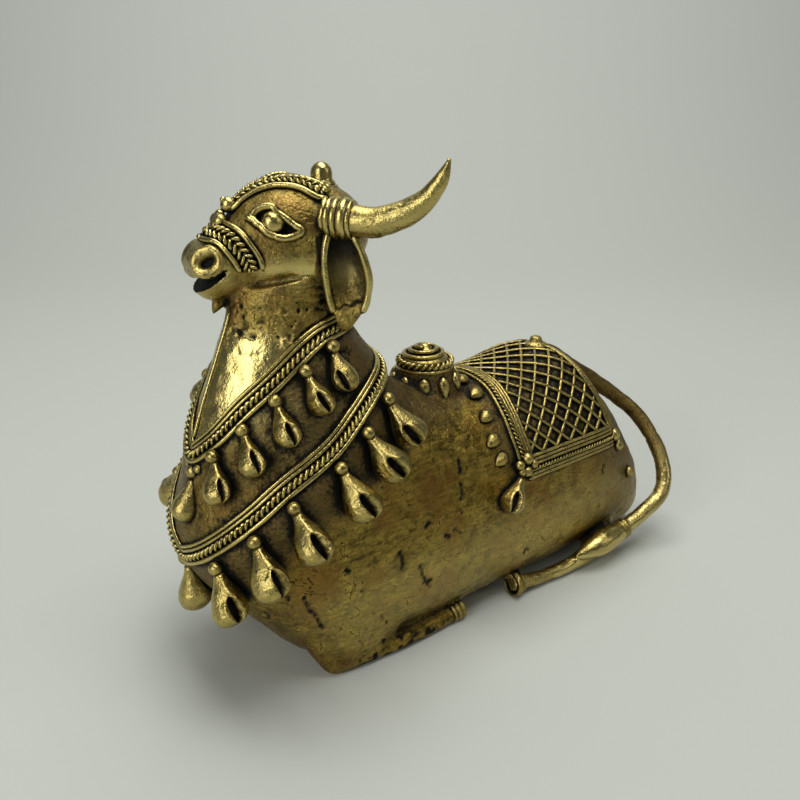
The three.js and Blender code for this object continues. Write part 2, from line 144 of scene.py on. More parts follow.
# Hump: height and radius round an upright axis
HUMP_X = -3.6
HUMP = [
    [56, 14.6],
    [60, 13.4],
    [64, 12.2],
    [68, 10.8],
    [71.5, 9.5],
    [74.2, 8.6],
    [76.0, 7.4],
    [77.2, 4.0],
    [78.0, 1.6],
]

# Head, nape to nose, facing -X before it is turned about the neck: x, top z, bottom z, half width
HEAD_TURN = math.radians(-12)
HEAD_PIVOT = np.array([-46.0, 0.0, 0.0])
HEAD_FULL = 2.3
SKULL = [
    [-29.5, 123.0, 112.0, 5.0],
    [-33.0, 127.3, 106.5, 9.5],
    [-38.5, 130.4, 103.5, 12.0],
    [-44.0, 131.6, 102.5, 13.0],
    [-50.0, 131.6, 102.8, 12.7],
    [-56.0, 130.0, 103.2, 11.2],
    [-60.5, 127.4, 103.6, 9.5],
    [-64.0, 123.8, 103.8, 8.3],
    [-67.5, 120.6, 103.9, 7.6],
    [-71.0, 118.4, 104.2, 7.2],
    [-73.6, 116.6, 105.2, 6.2],
    [-75.2, 114.4, 106.6, 3.8],
]
# The open mouth: its corner and the lips, as x and z
MOUTH = {"corner": (-65.2, 112.8), "upper": (-77.0, 109.5), "lower": (-77.0, 104.5)}
# Nostril: x, distance from the middle, z
NOSTRIL = (-71.9, 6.1, 114.2)
# Worm-holes under the jaw: place and width
WORM_HOLES = [
    ((-62.7, -8.0, 99.4), 0.9),
    ((-66.2, -3.4, 98.6), 0.9),
    ((-65.8, -4.4, 98.3), 0.9),
    ((-65.2, -5.2, 98.4), 0.8),
    ((-66.6, -2.6, 96.6), 0.7),
]
# Eye hollow: x and z of its middle, half length and half height, and its tilt
EYE_HOLLOW = {"x": -55.6, "z": 122.5, "half": (5.6, 3.3), "tilt": math.radians(-15.5)}
CHIN_TUFT = [
    [-67.2, 0.0, 104.6, 2.0],
    [-68.6, 0.0, 102.0, 1.5],
    [-70.0, 0.0, 99.7, 0.3],
]
# Horn: x, distance from the middle, z, radius; the right one is a stub in its cuff
HORN = [
    [-43.5, 9.0, 123.6, 3.8],
    [-40.6, 13.6, 123.2, 3.8],
    [-34.2, 19.5, 122.6, 3.7],
    [-28.9, 23.5, 124.4, 3.4],
    [-26.4, 25.5, 126.3, 3.0],
    [-23.9, 27.5, 128.9, 2.5],
    [-21.7, 29.4, 133.0, 1.9],
    [-20.3, 30.8, 137.6, 0.4],
]
# Ear: x, distance from the middle, z, half width, depth of the cup
EAR = [
    [-41.4, 14.4, 120.6, 1.9, 1.0],
    [-41.2, 15.4, 118.4, 3.6, 3.0],
    [-40.9, 16.2, 114.0, 4.9, 4.2],
    [-40.3, 16.6, 109.0, 5.4, 4.2],
    [-40.2, 16.6, 104.4, 4.9, 3.0],
    [-40.3, 16.5, 101.4, 4.0, 0.5],
    [-40.6, 16.2, 98.2, 2.6, -0.4],
    [-41.0, 15.7, 95.6, 0.9, -0.2],
]
EAR_FACING = (-0.45, 0.89)
# Eye on the left side of the head, as touched points x, y, z: the rim, and the middle of the ball
EYE_RIM = [
    [-61.0, 6.9, 123.7],
    [-58.6, 7.1, 125.3],
    [-56.1, 8.2, 126.0],
    [-54.2, 9.7, 124.9],
    [-52.5, 11.2, 123.2],
    [-50.0, 12.4, 121.0],
    [-51.7, 12.3, 119.7],
    [-54.4, 11.5, 119.2],
    [-57.2, 10.5, 119.8],
    [-59.4, 9.0, 121.7],
]
EYE_BALL = (-56.3, 10.1, 122.9)
# Wires of the noseband and of the crown, from the middle outwards: x, distance from the middle, z
NOSE_FRONT = [
    [-71.3, 0.0, 118.6],
    [-70.6, 3.0, 118.5],
    [-68.5, 5.5, 117.8],
    [-66.1, 7.6, 114.9],
    [-64.2, 8.2, 111.4],
]
NOSE_REAR = [
    [-66.0, 0.0, 122.0],
    [-65.4, 3.0, 122.0],
    [-63.1, 7.3, 120.5],
    [-61.2, 9.2, 117.4],
    [-59.6, 9.8, 114.2],
    [-59.2, 9.9, 111.8],
]
CROWN = [
    [-63.6, 0.4, 124.6],
    [-62.2, 1.6, 125.5],
    [-59.0, 2.4, 128.1],
    [-54.5, 3.9, 129.9],
    [-51.5, 5.6, 130.1],
    [-48.2, 7.6, 129.5],
    [-45.9, 9.2, 128.1],
    [-43.1, 10.6, 126.3],
]
# The crown's front wire runs on from the crown to the horn's cuff
CROWN_END = [[-42.6, 11.6, 124.6], [-42.4, 12.2, 122.8]]

# Necklaces, read by the angle round an upright axis at NECK_X, 0 in front and minus on the left side.
# rise: angle and height of the band's middle. bells: angles of the bells, and front that of the front
# one. size and reach: how far a bell hangs with its bead, and its half width. lean: how far it hangs
# square to the band instead of straight down. slit_to: the angle at which the slits face outward.
# drop: how far under the band a bell is hung.
NECK_X = -56.0
NECKLACES = [
    {
        "rise": [[0, 66], [16, 71.8], [35, 79.7], [60, 86.1], [86, 91.6], [105, 94.4], [125, 96], [180, 97]],
        "bells": [-13.5, -28.5, -52, -80, -116, 46, 80, 118],
        "front": -1,
        "size": 12.4,
        "reach": 3.5,
        "lean": 0.48,
        "slit_to": 72,
        "drop": 3.6,
    },
    {
        "rise": [[0, 39], [18, 44], [44, 54.2], [65, 62.2], [95, 69.6], [120, 76.5], [145, 81], [180, 84]],
        "bells": [-21.5, -41, -60.5, -89.5, -111, -136, 44, 68, 95, 120, 145],
        "front": 4,
        "size": 15.8,
        "reach": 4.85,
        "lean": 0.64,
        "slit_to": 84,
        "drop": 4.3,
    },
]
# Saddle cloth, read by the slope in degrees down either side of the back, round a line at height axis.
# front and rear: slopes, and the x of that border at each. low: the slope of the low edge.
CLOTH = {
    "front": ([0, 16, 30, 44, 56, 64], [16.0, 15.1, 13.2, 12.4, 12.9, 12.8]),
    "rear": ([0, 31, 44, 53, 64], [48.2, 50.6, 52.8, 53.8, 55.2]),
    "low": 63.0,
    "axis": 30.0,
}
# Beads at the front corner of the cloth and behind it, as x, slope and radius, and the front border's
# leaf drops, as x and slope
CORNER_BEADS = ((13.1, 57.8, 1.9), (9.6, 59.8, 1.5), (12.1, 64.2, 1.7), (15.2, 61.5, 1.4), (10.0, 63.4, 1.3))
HIND_BEADS = ((56.3, 64, 2.2), (58.6, 72, 1.9), (66.4, 96, 1.8))
CLOTH_LEAVES = ((7.4, 7), (6.3, 19), (4.1, 32), (2.5, 44), (3.5, 54))

# Turned forms, as rows of distance along the axis and radius. The bell's are shares of its length and
# of its half width.
BELL_OUTLINE = np.array([
    (0, 0.27), (0.07, 0.3), (0.2, 0.44), (0.36, 0.68), (0.54, 0.91),
    (0.7, 1.0), (0.82, 0.94), (0.91, 0.74), (0.97, 0.45), (1, 0.12),
])
CLOTH_KNOB = [(0, 4.2), (1.1, 4.1), (1.7, 3.2), (2.0, 2.3), (2.8, 2.1), (3.5, 1.8), (3.9, 1.0), (4.1, 0.1)]
CAP_CONE = [
    (74.0, 7.3), (75.6, 7.6), (76.8, 6.7), (78.0, 4.8), (79.1, 2.9),
    (79.7, 1.7), (80.2, 1.5), (80.6, 0.9), (80.8, 0.2),
]
CREST_KNOB = [
    (124.5, 3.3), (129.6, 3.5), (130.5, 3.4), (130.9, 2.9), (131.5, 2.75),
    (132.6, 2.8), (133.8, 2.5), (134.7, 1.8), (135.2, 1.0), (135.4, 0.1),
]
HORN_CUFF = [
    (-3.2, 2.8), (-3.1, 3.9), (-2.8, 4.3), (-2.2, 4.55), (-1.6, 4.3), (-1.4, 3.85), (-1.2, 4.3),
    (-0.6, 4.65), (0.0, 4.3), (0.2, 3.85), (0.4, 4.3), (1.0, 4.65), (1.8, 4.6), (2.3, 4.3),
    (2.5, 3.85), (2.7, 4.2), (3.1, 4.35), (3.5, 4.1), (3.6, 3.0),
]
TOOTH = [(-0.6, 0.6), (0.4, 0.6), (0.9, 0.45), (1.1, 0.15)]
# The last three rows of a hoof line its hollow
FORE_HOOF = [
    (-4.4, 2.1), (-4.2, 2.9), (-3.7, 3.1), (-3.3, 2.6), (-2.9, 2.7), (-2.6, 3.2), (-1.9, 3.35), (-1.5, 2.8),
    (-1.1, 3.3), (-0.4, 3.45), (0.1, 3.2), (0.3, 2.6), (0.0, 2.1), (-1.2, 1.9), (-1.4, 0.1),
]
HIND_HOOF = [
    (-3.6, 2.3), (-3.4, 3.2), (-2.8, 3.5), (-2.2, 3.1), (-1.9, 3.4), (-1.2, 4.2),
    (-0.3, 4.3), (0.2, 4.0), (0.3, 3.5), (-0.1, 3.1), (-1.7, 2.8), (-1.9, 0.1),
]
TUFT_RING = [
    (-1.6, 2.3), (-1.4, 3.2), (-0.6, 3.5), (-0.1, 3.0), (0.2, 3.2), (0.9, 3.45), (1.5, 3.0), (1.6, 1.8),
]
CREST_X = -39.6
# Beads of the flower beside the crest, as x and y from its middle, and of the brow, as y, z and radius
FLOWER = ((0, 0), (1.5, 0.4), (-1.3, 0.8), (0.2, -1.5), (0.4, 1.6))
BROW_BEADS = ((0, 123.9, 1.5), (-1.5, 122.8, 1.75), (1.5, 122.8, 1.75), (0, 121.6, 1.8), (0, 120.2, 1.1))

# Meshes: size of the head's, and how far a ray looks for metal that closes a point in
HEAD_SKIN = 0.45
SHUT_REACH = 6.0

# Camera: place in the figure's millimetres, and how it is turned and raised
CAMERA_AT = np.array([-155.0, -175.0, 152.0])
CAMERA_TURN = math.radians(-39)
CAMERA_RISE = math.radians(21.2)
# Lamps: name, place and size in metres, watts, colour, and the place that each is aimed at
FIGURE_MIDDLE = (-0.01, 0.0, 0.06)
LAMPS = (
    ("soft_top", (0.06, 0.0, 0.9), (0.8, 0.5), 6.6, "#FFFEFA", FIGURE_MIDDLE),
    ("soft_left", (-0.8, -0.2, 0.4), (0.4, 0.6), 3.0, "#FFFFFF", FIGURE_MIDDLE),
    ("soft_right", (0.5, -0.7, 0.6), (0.3, 0.45), 0.6, "#FFFAF0", FIGURE_MIDDLE),
    ("backdrop", (0.45, 0.56, 0.98), (1.6, 0.2), 4.4, "#FFFFFF", (0.74, 0.93, 0.56)),
)
# Paper sweep in metres: how far it comes forward, where and how widely it bends up, its height and half width
SWEEP = {"front": -1.2, "bend": 0.45, "radius": 0.6, "top": 2.2, "half": 1.8}
# Cracks and worm-holes where the metal shrank, as lines of places on the left side of the trunk
CRACKS = [
    [[-11.9, -25.0, 54.1], [-12.2, -26.0, 52.0], [-12.6, -26.8, 50.0]],
    [[-13.4, -27.7, 47.4], [-13.0, -28.2, 45.5], [-14.2, -28.8, 43.0]],
    [[-19.2, -29.9, 33.6], [-21.0, -29.9, 34.4]],
    [[-26.1, -29.0, 40.2], [-27.6, -29.0, 39.2]],
    [[-36.9, -29.2, 34.9], [-36.0, -29.3, 32.0], [-36.4, -29.4, 29.1]],
    [[-65.8, -26.0, 31.2], [-64.5, -26.0, 26.8], [-62.0, -25.6, 23.0], [-60.4, -25.4, 18.4]],
    [[-30.2, -29.7, 28.0], [-28.9, -29.7, 24.0], [-26.3, -29.7, 19.8]],
    [[-54.3, -28.5, 36.0], [-53.0, -28.6, 35.0]],
]

RNG = np.random.default_rng(11)
NOISE_CELLS = 32
NOISE = RNG.random((NOISE_CELLS,) * 3)


def unit(v):
    """Vectors at length one."""
    v = np.asarray(v, float)
    return v / np.maximum(np.linalg.norm(v, axis=-1, keepdims=True), 1e-9)


def along(rows, count):
    """Rows of numbers read at equal shares of a smooth curve through them."""
    rows = np.asarray(rows, float)
    at = np.linspace(0, len(rows) - 1, count)
    i = np.clip(at.astype(int), 0, len(rows) - 2)
    t = (at - i)[:, None]
    p = np.vstack([2 * rows[0] - rows[1], rows, 2 * rows[-1] - rows[-2]])
    a, b, c, d = p[i], p[i + 1], p[i + 2], p[i + 3]
    return 0.5 * (2 * b + (c - a) * t + (2 * a - 5 * b + 4 * c - d) * t**2 + (3 * b - a - 3 * c + d) * t**3)


def grain(p, size, seed=0):
    """Soft unevenness from -0.5 to 0.5 whose lumps are about size mm across."""
    q = np.asarray(p) / size + seed * 7.31
    i = np.floor(q).astype(int)
    t = q - i
    t = t * t * (3 - 2 * t)
    out = 0.0
    for x in (0, 1):
        for y in (0, 1):
            for z in (0, 1):
                w = np.abs(1 - x - t[:, 0]) * np.abs(1 - y - t[:, 1]) * np.abs(1 - z - t[:, 2])
                out = out + w * NOISE[tuple((i + [x, y, z]).T % NOISE_CELLS)]
    return out - 0.5


def power(v, fullness):
    """Cosines or sines of a ring squared off: 2 is round, more is fuller."""
    return np.sign(v) * np.abs(v) ** (2 / fullness)


def turns(count):
    """Cosine and sine of equal steps round a circle."""
    a = np.linspace(0, 2 * math.pi, count, endpoint=False)
    return np.cos(a), np.sin(a)


def circle(count):
    """Directions at equal steps round an upright axis."""
    return np.column_stack([*turns(count), np.zeros(count)])


def skin(rings, loop=False):
    """Closed skin over rings of points; a loop joins its last ring to the first."""
    rings = np.asarray(rings, float)
    m, n, _ = rings.shape
    i, j = np.meshgrid(np.arange(m if loop else m - 1), np.arange(n), indexing="ij")
    after, k = (i + 1) % m, (j + 1) % n
    faces = np.stack([i * n + j, i * n + k, after * n + k, after * n + j], -1).reshape(-1, 4).tolist()
    if not loop:
        faces.append(list(range(n))[::-1])
        faces.append(list(range((m - 1) * n, m * n)))
    return rings.reshape(-1, 3), faces


def joined(forms):
    """Several skins as one list of points and faces."""
    points, faces, start = [], [], 0
    for verts, polys in forms:
        points.append(verts)
        faces += [[v + start for v in poly] for poly in polys]
        start += len(verts)
    return np.vstack(points), faces


def mirrored(rows, side):
    """Rows whose second number is a distance from the middle, on the side asked for."""
    rows = np.array(rows, float)
    rows[:, 1] *= side
    return rows


def tube(middle, size, across, up, sides, loop=False):
    """Round skin along a line, with a radius at each of its places."""
    c, s = turns(sides)
    ring = c[None, :, None] * across[:, None] + s[None, :, None] * up[:, None]
    return skin(middle[:, None] + size[:, None, None] * ring, loop)


def tapered(size, start, steps):
    """Radii that shrink over the last few steps at either end."""
    run = np.minimum(np.arange(len(size)), np.arange(len(size))[::-1])
    return size * np.sqrt(np.clip((run + start) / steps, 0.1, 1))


def rod(rows, steps, sides):
    """Round rod along rows of x, y, z and radius."""
    line = along(rows, steps)
    points, radius = line[:, :3], np.maximum(line[:, 3], 0.15)
    ahead = unit(np.gradient(points, axis=0))
    up = np.zeros_like(points)
    start = np.array([0.0, 0.0, 1.0]) if abs(ahead[0][2]) < 0.9 else np.array([0.0, 1.0, 0.0])
    for i, t in enumerate(ahead):
        start = unit(start - t * start.dot(t))
        up[i] = start
    return tube(points, radius, up, np.cross(ahead, up), sides)


def turned_form(middle, axis, profile, sides):
    """Form turned about an axis: profile is rows of distance along the axis and radius."""
    axis = unit(axis)
    up = unit(np.cross(axis, [0.31, 0.2, 0.93]))
    side = np.cross(axis, up)
    c, s = turns(sides)
    ring = c[:, None] * up + s[:, None] * side
    return skin([middle + axis * t + ring * max(r, 0.02) for t, r in profile])


def round_bead(at, radius, normal=(0, 0, 1), flat=0.85, sides=14):
    """Round bead, a little flattened towards the surface that it sits on."""
    steps = np.linspace(0.12, math.pi - 0.12, 9)
    profile = [(-radius * flat * math.cos(a), radius * math.sin(a)) for a in steps]
    verts, faces = turned_form(np.asarray(at, float), np.asarray(normal, float), profile, sides)
    return verts + unit(verts - at) * (grain(verts, radius * 0.9, 3) * radius * 0.16)[:, None], faces


def bead_on(spot, lift, radius, flat=0.85, sides=14):
    """Round bead seated on a touched place, given with its normal."""
    return round_bead(spot[:3] + spot[3:] * lift, radius, spot[3:], flat, sides)


class Surface:
    """A fused skin that wires, beads and bells are seated on."""

    def __init__(self, verts, faces):
        self.tree = BVHTree.FromPolygons(verts.tolist(), faces)
        ring = np.array([face[:3] for face in faces])
        a, b, c = verts[ring[:, 0]], verts[ring[:, 1]], verts[ring[:, 2]]
        self.outward = 1.0 if np.einsum("ij,ij->i", a, np.cross(b, c)).sum() > 0 else -1.0

    def cast(self, origin, direction):
        """Place and normal where a ray first touches."""
        direction = Vector(direction).normalized()
        place, normal, _, _ = self.tree.ray_cast(Vector(origin), direction)
        if place is None:
            raise RuntimeError(f"nothing to touch from {tuple(origin)}")
        if normal.dot(direction) > 0:
            normal.negate()
        return np.array([*place, *normal])

    def near(self, point):
        """Place and normal nearest to a point."""
        place, normal, _, _ = self.tree.find_nearest(Vector(point))
        return np.array([*place, *(normal * self.outward)])


def spaced(line, step, loop=False):
    """A line's rows at equal steps along it."""
    rows = np.vstack([line, line[:1]]) if loop else line
    run = np.concatenate([[0], np.cumsum(np.linalg.norm(np.diff(rows[:, :3], axis=0), axis=1))])
    count = max(4, int(round(run[-1] / step)))
    at = np.linspace(0, run[-1], count + 1)
    out = np.column_stack([np.interp(at, run, rows[:, k]) for k in range(rows.shape[1])])
    return out[:-1] if loop else out


def eased(line, times, loop=False):
    """A line with its small jitters evened out."""
    ends = line[0].copy(), line[-1].copy()
    for _ in range(times):
        if loop:
            before, after = np.roll(line, 1, 0), np.roll(line, -1, 0)
        else:
            before, after = np.vstack([line[:1], line[:-1]]), np.vstack([line[1:], line[-1:]])
        line = 0.25 * before + 0.5 * line + 0.25 * after
    if not loop:
        line[0], line[-1] = ends
    if line.shape[1] > 3:
        line[:, 3:6] = unit(line[:, 3:6])
    return line


def laid(surface, rays, loop=False, step=0.6, ease=6):
    """Line on a surface where the rays touch it: rows of place and normal."""
    line = np.array([surface.cast(origin, direction) for origin, direction in rays])
    return eased(spaced(line, step, loop), ease, loop)


def draped(surface, rows, side=1, loop=False, step=0.5, ease=3):
    """Line through measured points, brought on to a surface."""
    rows = mirrored(rows, side)
    rows = np.vstack([rows, rows[:1]]) if loop else rows
    line = np.array([surface.near(p) for p in along(rows, 14 * len(rows))])
    return eased(spaced(line[:-1] if loop else line, step, loop), ease, loop)


def axes(line, loop=False):
    """Across, upward and ahead at each place of a line on a surface."""
    points = line[:, :3]
    if loop:
        ahead = unit(np.roll(points, -1, 0) - np.roll(points, 1, 0))
    else:
        ahead = unit(np.gradient(points, axis=0))
    across = unit(np.cross(ahead, line[:, 3:6]))
    return across, np.cross(across, ahead), ahead


def beside(surface, line, offset, loop=False):
    """The same line moved sideways along the surface."""
    moved = line[:, :3] + axes(line, loop)[0] * offset
    return eased(np.array([surface.near(p) for p in moved]), 4, loop)


def wire(line, radius, lift=0.45, loop=False, sides=8, wobble=0.05):
    """Wax thread laid along a line, its foot sunk in the surface."""
    across, up, _ = axes(line, loop)
    size = np.full(len(line), radius) * (1 + wobble * 2 * grain(line[:, :3], 2.6, 5))
    if not loop:
        size = tapered(size, 0.35, 2.2)
    return tube(line[:, :3] + up * (lift * radius), size, across, up, sides, loop)


def threads_beside(surface, line, offsets, radius, lift, loop=False):
    """Wax threads laid beside a line, one at each offset."""
    return [wire(beside(surface, line, offset, loop), radius, lift, loop) for offset in offsets]


def rope(line, radius, pitch, hand=1, lift=0.5, loop=False, sides=7):
    """Two threads twisted together and laid along a line."""
    steps = 11
    line = spaced(line, pitch / steps, loop)
    across, up, _ = axes(line, loop)
    run = np.arange(len(line)) / steps
    if loop:
        run = run * round(len(line) / steps) / (len(line) / steps)
    forms = []
    for strand in (0, 1):
        phase = hand * 2 * math.pi * run + math.pi * strand
        out = np.cos(phase)[:, None] * across + np.sin(phase)[:, None] * up
        middle = line[:, :3] + up * (lift * radius) + out * radius * 0.5
        size = np.full(len(line), radius * 0.56)
        if not loop:
            size = tapered(size, 0.5, 5)
        forms.append(tube(middle, size, across, up, sides, loop))
    return joined(forms)


def leaf(place, normal, hang, length, width, thick=1.3):
    """Small leaf drop pressed on a surface, pointed at its upper end."""
    normal = unit(normal)
    hang = unit(np.asarray(hang) - normal * np.dot(hang, normal))
    side = np.cross(hang, normal)
    c, s = turns(12)
    rings = []
    for t in np.linspace(0, 1, 11):
        swell = math.sin(math.pi * min(1, t**0.75)) ** 0.8
        r = 0.5 * width * (0.12 + swell * 0.95) * (1 if t < 0.97 else 0.6)
        h = thick * (0.3 + 0.7 * math.sin(math.pi * min(1, t**0.8)))
        middle = place + hang * (t * length) + normal * (0.15 * thick)
        rings.append([middle + side * (r * a) + normal * (h * b * 0.75) for a, b in zip(c, s)])
    return skin(rings)


def crotal_bell(top, normal, hang, size, reach, slit, slant=-0.35, low=0.0):
    """Drop-shaped bell whose two lobes meet in a slit, and how much painted shade darkens each of its points
    in the slit.
    """
    outward = unit(normal - hang * np.dot(normal, hang))
    side = np.cross(hang, outward)
    rows = np.concatenate([np.linspace(0, 0.34, 8)[:-1], np.linspace(0.34, 1, 32)])
    x = np.linspace(-0.5, 0.5, 56, endpoint=False)
    turn = 2 * math.pi * x - 0.78 * np.sin(2 * math.pi * x)
    rings, dark = [], []
    for t in rows:
        r = np.interp(t, BELL_OUTLINE[:, 0], BELL_OUTLINE[:, 1]) * reach
        off = turn * r
        span = max(0.0, 1 - ((t - 0.7 - low) / 0.27) ** 2)
        half = 0.32 * reach * span**0.6
        cut_in = np.clip((half - np.abs(off)) / 0.14, 0, 1) if span > 0 else np.zeros_like(off)
        lip = np.exp(-(((np.abs(off) - half - 0.55) / 0.6) ** 2)) * min(1, 2 * span)
        fork = math.exp(-(((t - 0.3) / 0.2) ** 2)) * np.exp(-((turn / 0.42) ** 2)) * 0.13 * reach
        radial = r * (1 + 0.09 * lip) + fork - cut_in * min(r * 0.66, 2.8)
        angle = turn + slit + slant * (t - 0.62)
        middle = top + hang * (t * size) + outward * (t * 0.1 * size)
        around = outward * (radial * np.cos(angle))[:, None] + side * (radial * np.sin(angle))[:, None]
        rings.append(middle + around)
        dark.append(cut_in)
    verts, faces = skin(rings)
    verts = verts + unit(verts - verts.mean(0)) * (grain(verts, 3.1, 2) * 0.4)[:, None]
    return verts, faces, np.concatenate(dark)


def fused(forms, voxel):
    """One closed skin over overlapping closed forms."""
    verts, faces = joined(forms)
    mesh = bpy.data.meshes.new("clay")
    mesh.from_pydata(verts.tolist(), [], faces)
    clay = bpy.data.objects.new("clay", mesh)
    bpy.context.scene.collection.objects.link(clay)
    melt = clay.modifiers.new("melt", "REMESH")
    melt.mode = "VOXEL"
    melt.voxel_size = voxel
    made = clay.evaluated_get(bpy.context.evaluated_depsgraph_get()).to_mesh()
    points = np.empty(len(made.vertices) * 3)
    made.vertices.foreach_get("co", points)
    quads = np.empty(len(made.loops), int)
    made.loops.foreach_get("vertex_index", quads)
    bpy.data.objects.remove(clay)
    bpy.data.meshes.remove(mesh)
    return points.reshape(-1, 3), quads.reshape(-1, 4)


def face_outward(mesh):
    """Turns a closed mesh's faces outward."""
    build = bmesh.new()
    build.from_mesh(mesh)
    bmesh.ops.recalc_face_normals(build, faces=build.faces)
    build.to_mesh(mesh)
    build.free()


def carved(form, tool):
    """A closed form with another cut out of it."""
    made = []
    for verts, faces in (form, tool):
        mesh = bpy.data.meshes.new("clay")
        mesh.from_pydata(verts.tolist(), [], faces)
        face_outward(mesh)
        made.append(bpy.data.objects.new("clay", mesh))
        bpy.context.scene.collection.objects.link(made[-1])
    knife = made[0].modifiers.new("knife", "BOOLEAN")
    knife.operation, knife.solver, knife.object = "DIFFERENCE", "EXACT", made[1]
    kept = made[0].evaluated_get(bpy.context.evaluated_depsgraph_get()).to_mesh()
    verts = np.array([v.co[:] for v in kept.vertices])
    faces = [list(face.vertices) for face in kept.polygons]
    for clay in made:
        bpy.data.meshes.remove(clay.data)
    if len(verts) < 10:
        raise RuntimeError("nothing was left of the form that was carved")
    return verts, faces


def neighbours(quads):
    """Each pair of joined points, both ways round."""
    pairs = np.vstack([quads[:, [0, 1]], quads[:, [1, 2]], quads[:, [2, 3]], quads[:, [3, 0]]])
    return np.vstack([pairs, pairs[:, ::-1]])


def relaxed(points, quads, times, share=0.5):
    """Points drawn towards the middle of their neighbours."""
    pairs = neighbours(quads)
    count = np.bincount(pairs[:, 0], minlength=len(points))[:, None]
    for _ in range(times):
        near = points[pairs[:, 1]]
        total = np.column_stack([np.bincount(pairs[:, 0], near[:, k], len(points)) for k in range(3)])
        points = points + (total / count - points) * share
    return points


def normals_of(points, quads):
    """Outward direction at each point."""
    face = np.cross(points[quads[:, 2]] - points[quads[:, 0]], points[quads[:, 3]] - points[quads[:, 1]])
    out = np.zeros_like(points)
    for k in range(4):
        for a in range(3):
            out[:, a] += np.bincount(quads[:, k], face[:, a], len(points))
    return unit(out)


def head_loft(rows, count, sides):
    """Skin over full rounded rings from rows of x, top, bottom and half width."""
    c, s = turns(sides)
    rings = []
    for x, top, bottom, half in along(rows, count):
        z = (top + bottom) / 2 + (top - bottom) / 2 * power(s, HEAD_FULL)
        rings.append(np.column_stack([np.full(sides, x), half * power(c, HEAD_FULL), z]))
    return skin(rings)


def turn_head(points, way=1):
    """From the head laid out facing -X to the head turned about the neck; way -1 is back again."""
    p = np.asarray(points) - HEAD_PIVOT
    c, s = math.cos(HEAD_TURN * way), math.sin(HEAD_TURN * way)
    return np.column_stack([p[:, 0] * c - p[:, 1] * s, p[:, 0] * s + p[:, 1] * c, p[:, 2]]) + HEAD_PIVOT


FORMS = {}


def trunk_form():
    """Trunk, neck, knees, legs, hump and tail, with the smooth trunk that ornaments are seated on."""
    if "trunk" in FORMS:
        return FORMS["trunk"]
    c, s = turns(96)
    rings = []
    for xb, zb, xf, zf, half, widest, back, front in along(TRUNK, 110):
        full = np.where(c > 0, back, front)
        share = widest - power(c, full) * np.where(c > 0, widest, 1 - widest)
        rings.append(np.column_stack([xb + (xf - xb) * share, half * power(s, full), zb + (zf - zb) * share]))
    trunk = skin(rings)
    # the foot of the neck tapers so that it stays inside the body under the necklace
    foot = [ring.mean(0) + (ring - ring.mean(0)) * (0.82 + 0.03 * k) for k, ring in enumerate(rings[80:86])]
    forms = [trunk]
    kc, ks = turns(36)
    for side in (1, -1):
        knee = []
        for z, front, back, out, half in along(KNEE, 24):
            x = (front + back) / 2 + (back - front) / 2 * kc
            knee.append(np.column_stack([x, side * out + half * ks, np.full(36, z)]))
        forms.append(skin(knee))
        forms.append(rod(mirrored(FORELEG, side), 40, 24))
        forms.append(rod(mirrored(HIND_LEG, side), 50, 24))
    hc, hs = turns(48)
    hump = [np.column_stack([HUMP_X + r * hc, r * hs, np.full(48, z)]) for z, r in along(HUMP, 30)]
    forms.append(skin(hump))
    forms.append(rod(TAIL, 90, 20))
    forms.append(rod(TUFT, 30, 20))
    seat_points, seat_quads = fused([trunk], 1.2)
    seat = Surface(relaxed(seat_points, seat_quads, 6), seat_quads.tolist())
    FORMS["trunk"] = {"forms": forms, "neck": skin(foot + rings[86:]), "seat": seat}
    return FORMS["trunk"]


def above_band(points, band=NECKLACES[0]):
    """How far each point is above the middle of a necklace, in millimetres."""
    rise = along(band["rise"], 80)
    turn = np.degrees(np.arctan2(np.abs(points[:, 1]), NECK_X - points[:, 0]))
    return points[:, 2] - np.interp(turn, rise[:, 0], rise[:, 1])


def smooth_step(low, high, v):
    """0 before low, 1 after high and a soft rise between them; low may be the greater."""
    t = np.clip((v - low) / (high - low), 0, 1)
    return t * t * (3 - 2 * t)


PIECES = {}


def make_piece(name, forms, material, polish_and_sheen=0.0, grime_and_shade=0.0, pits_and_shade=0.0):
    """Mesh object in the frame's metres from skins in millimetres, kept inside ROOM. Its polish with its
    painted highlights, its grime with its painted shade, and its pits with their painted shade go with its
    points."""
    verts, faces = joined(forms) if isinstance(forms, list) else forms
    verts = np.clip(np.asarray(verts, float), *ROOM)
    mesh = bpy.data.meshes.new(name)
    polygons = faces if isinstance(faces, list) else faces.tolist()
    mesh.from_pydata(((verts + SHIFT) * 0.001).tolist(), [], polygons)
    for key, value in (("polish_and_sheen", polish_and_sheen), ("grime_and_shade", grime_and_shade), ("pits_and_shade", pits_and_shade)):
        layer = mesh.attributes.new(key, "FLOAT", "POINT")
        layer.data.foreach_set("value", np.broadcast_to(np.asarray(value, float), (len(verts),)).copy())
    if isinstance(faces, list):
        face_outward(mesh)
    mesh.shade_smooth()
    piece = bpy.data.objects.new(name, mesh)
    bpy.context.scene.collection.objects.link(piece)
    mesh.materials.append(material)
    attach(piece, "root")
    PIECES[name] = piece
    return piece


def on_back(x, slope):
    """Ray to a place on the back, at a slope to either side of its ridge."""
    out = np.array([0.0, math.sin(math.radians(slope)), math.cos(math.radians(slope))])
    return (np.array([x, 0.0, CLOTH["axis"]]) + out * 80, -out)


def cloth_edges(slope):
    """Where the front and the rear border of the cloth run, at a slope down either side."""
    return np.interp(np.abs(slope), *CLOTH["front"]), np.interp(np.abs(slope), *CLOTH["rear"])


def band_ray(band, degrees, lower=0.0):
    """Ray to a place on a necklace's band, or a little lower, at an angle round the neck."""
    rise = along(band["rise"], 80)
    height = np.interp(abs(degrees), rise[:, 0], rise[:, 1]) - lower
    out = np.array([-math.cos(math.radians(degrees)), math.sin(math.radians(degrees)), 0.0])
    return np.array([NECK_X, 0.0, height]) + out * 90, -out


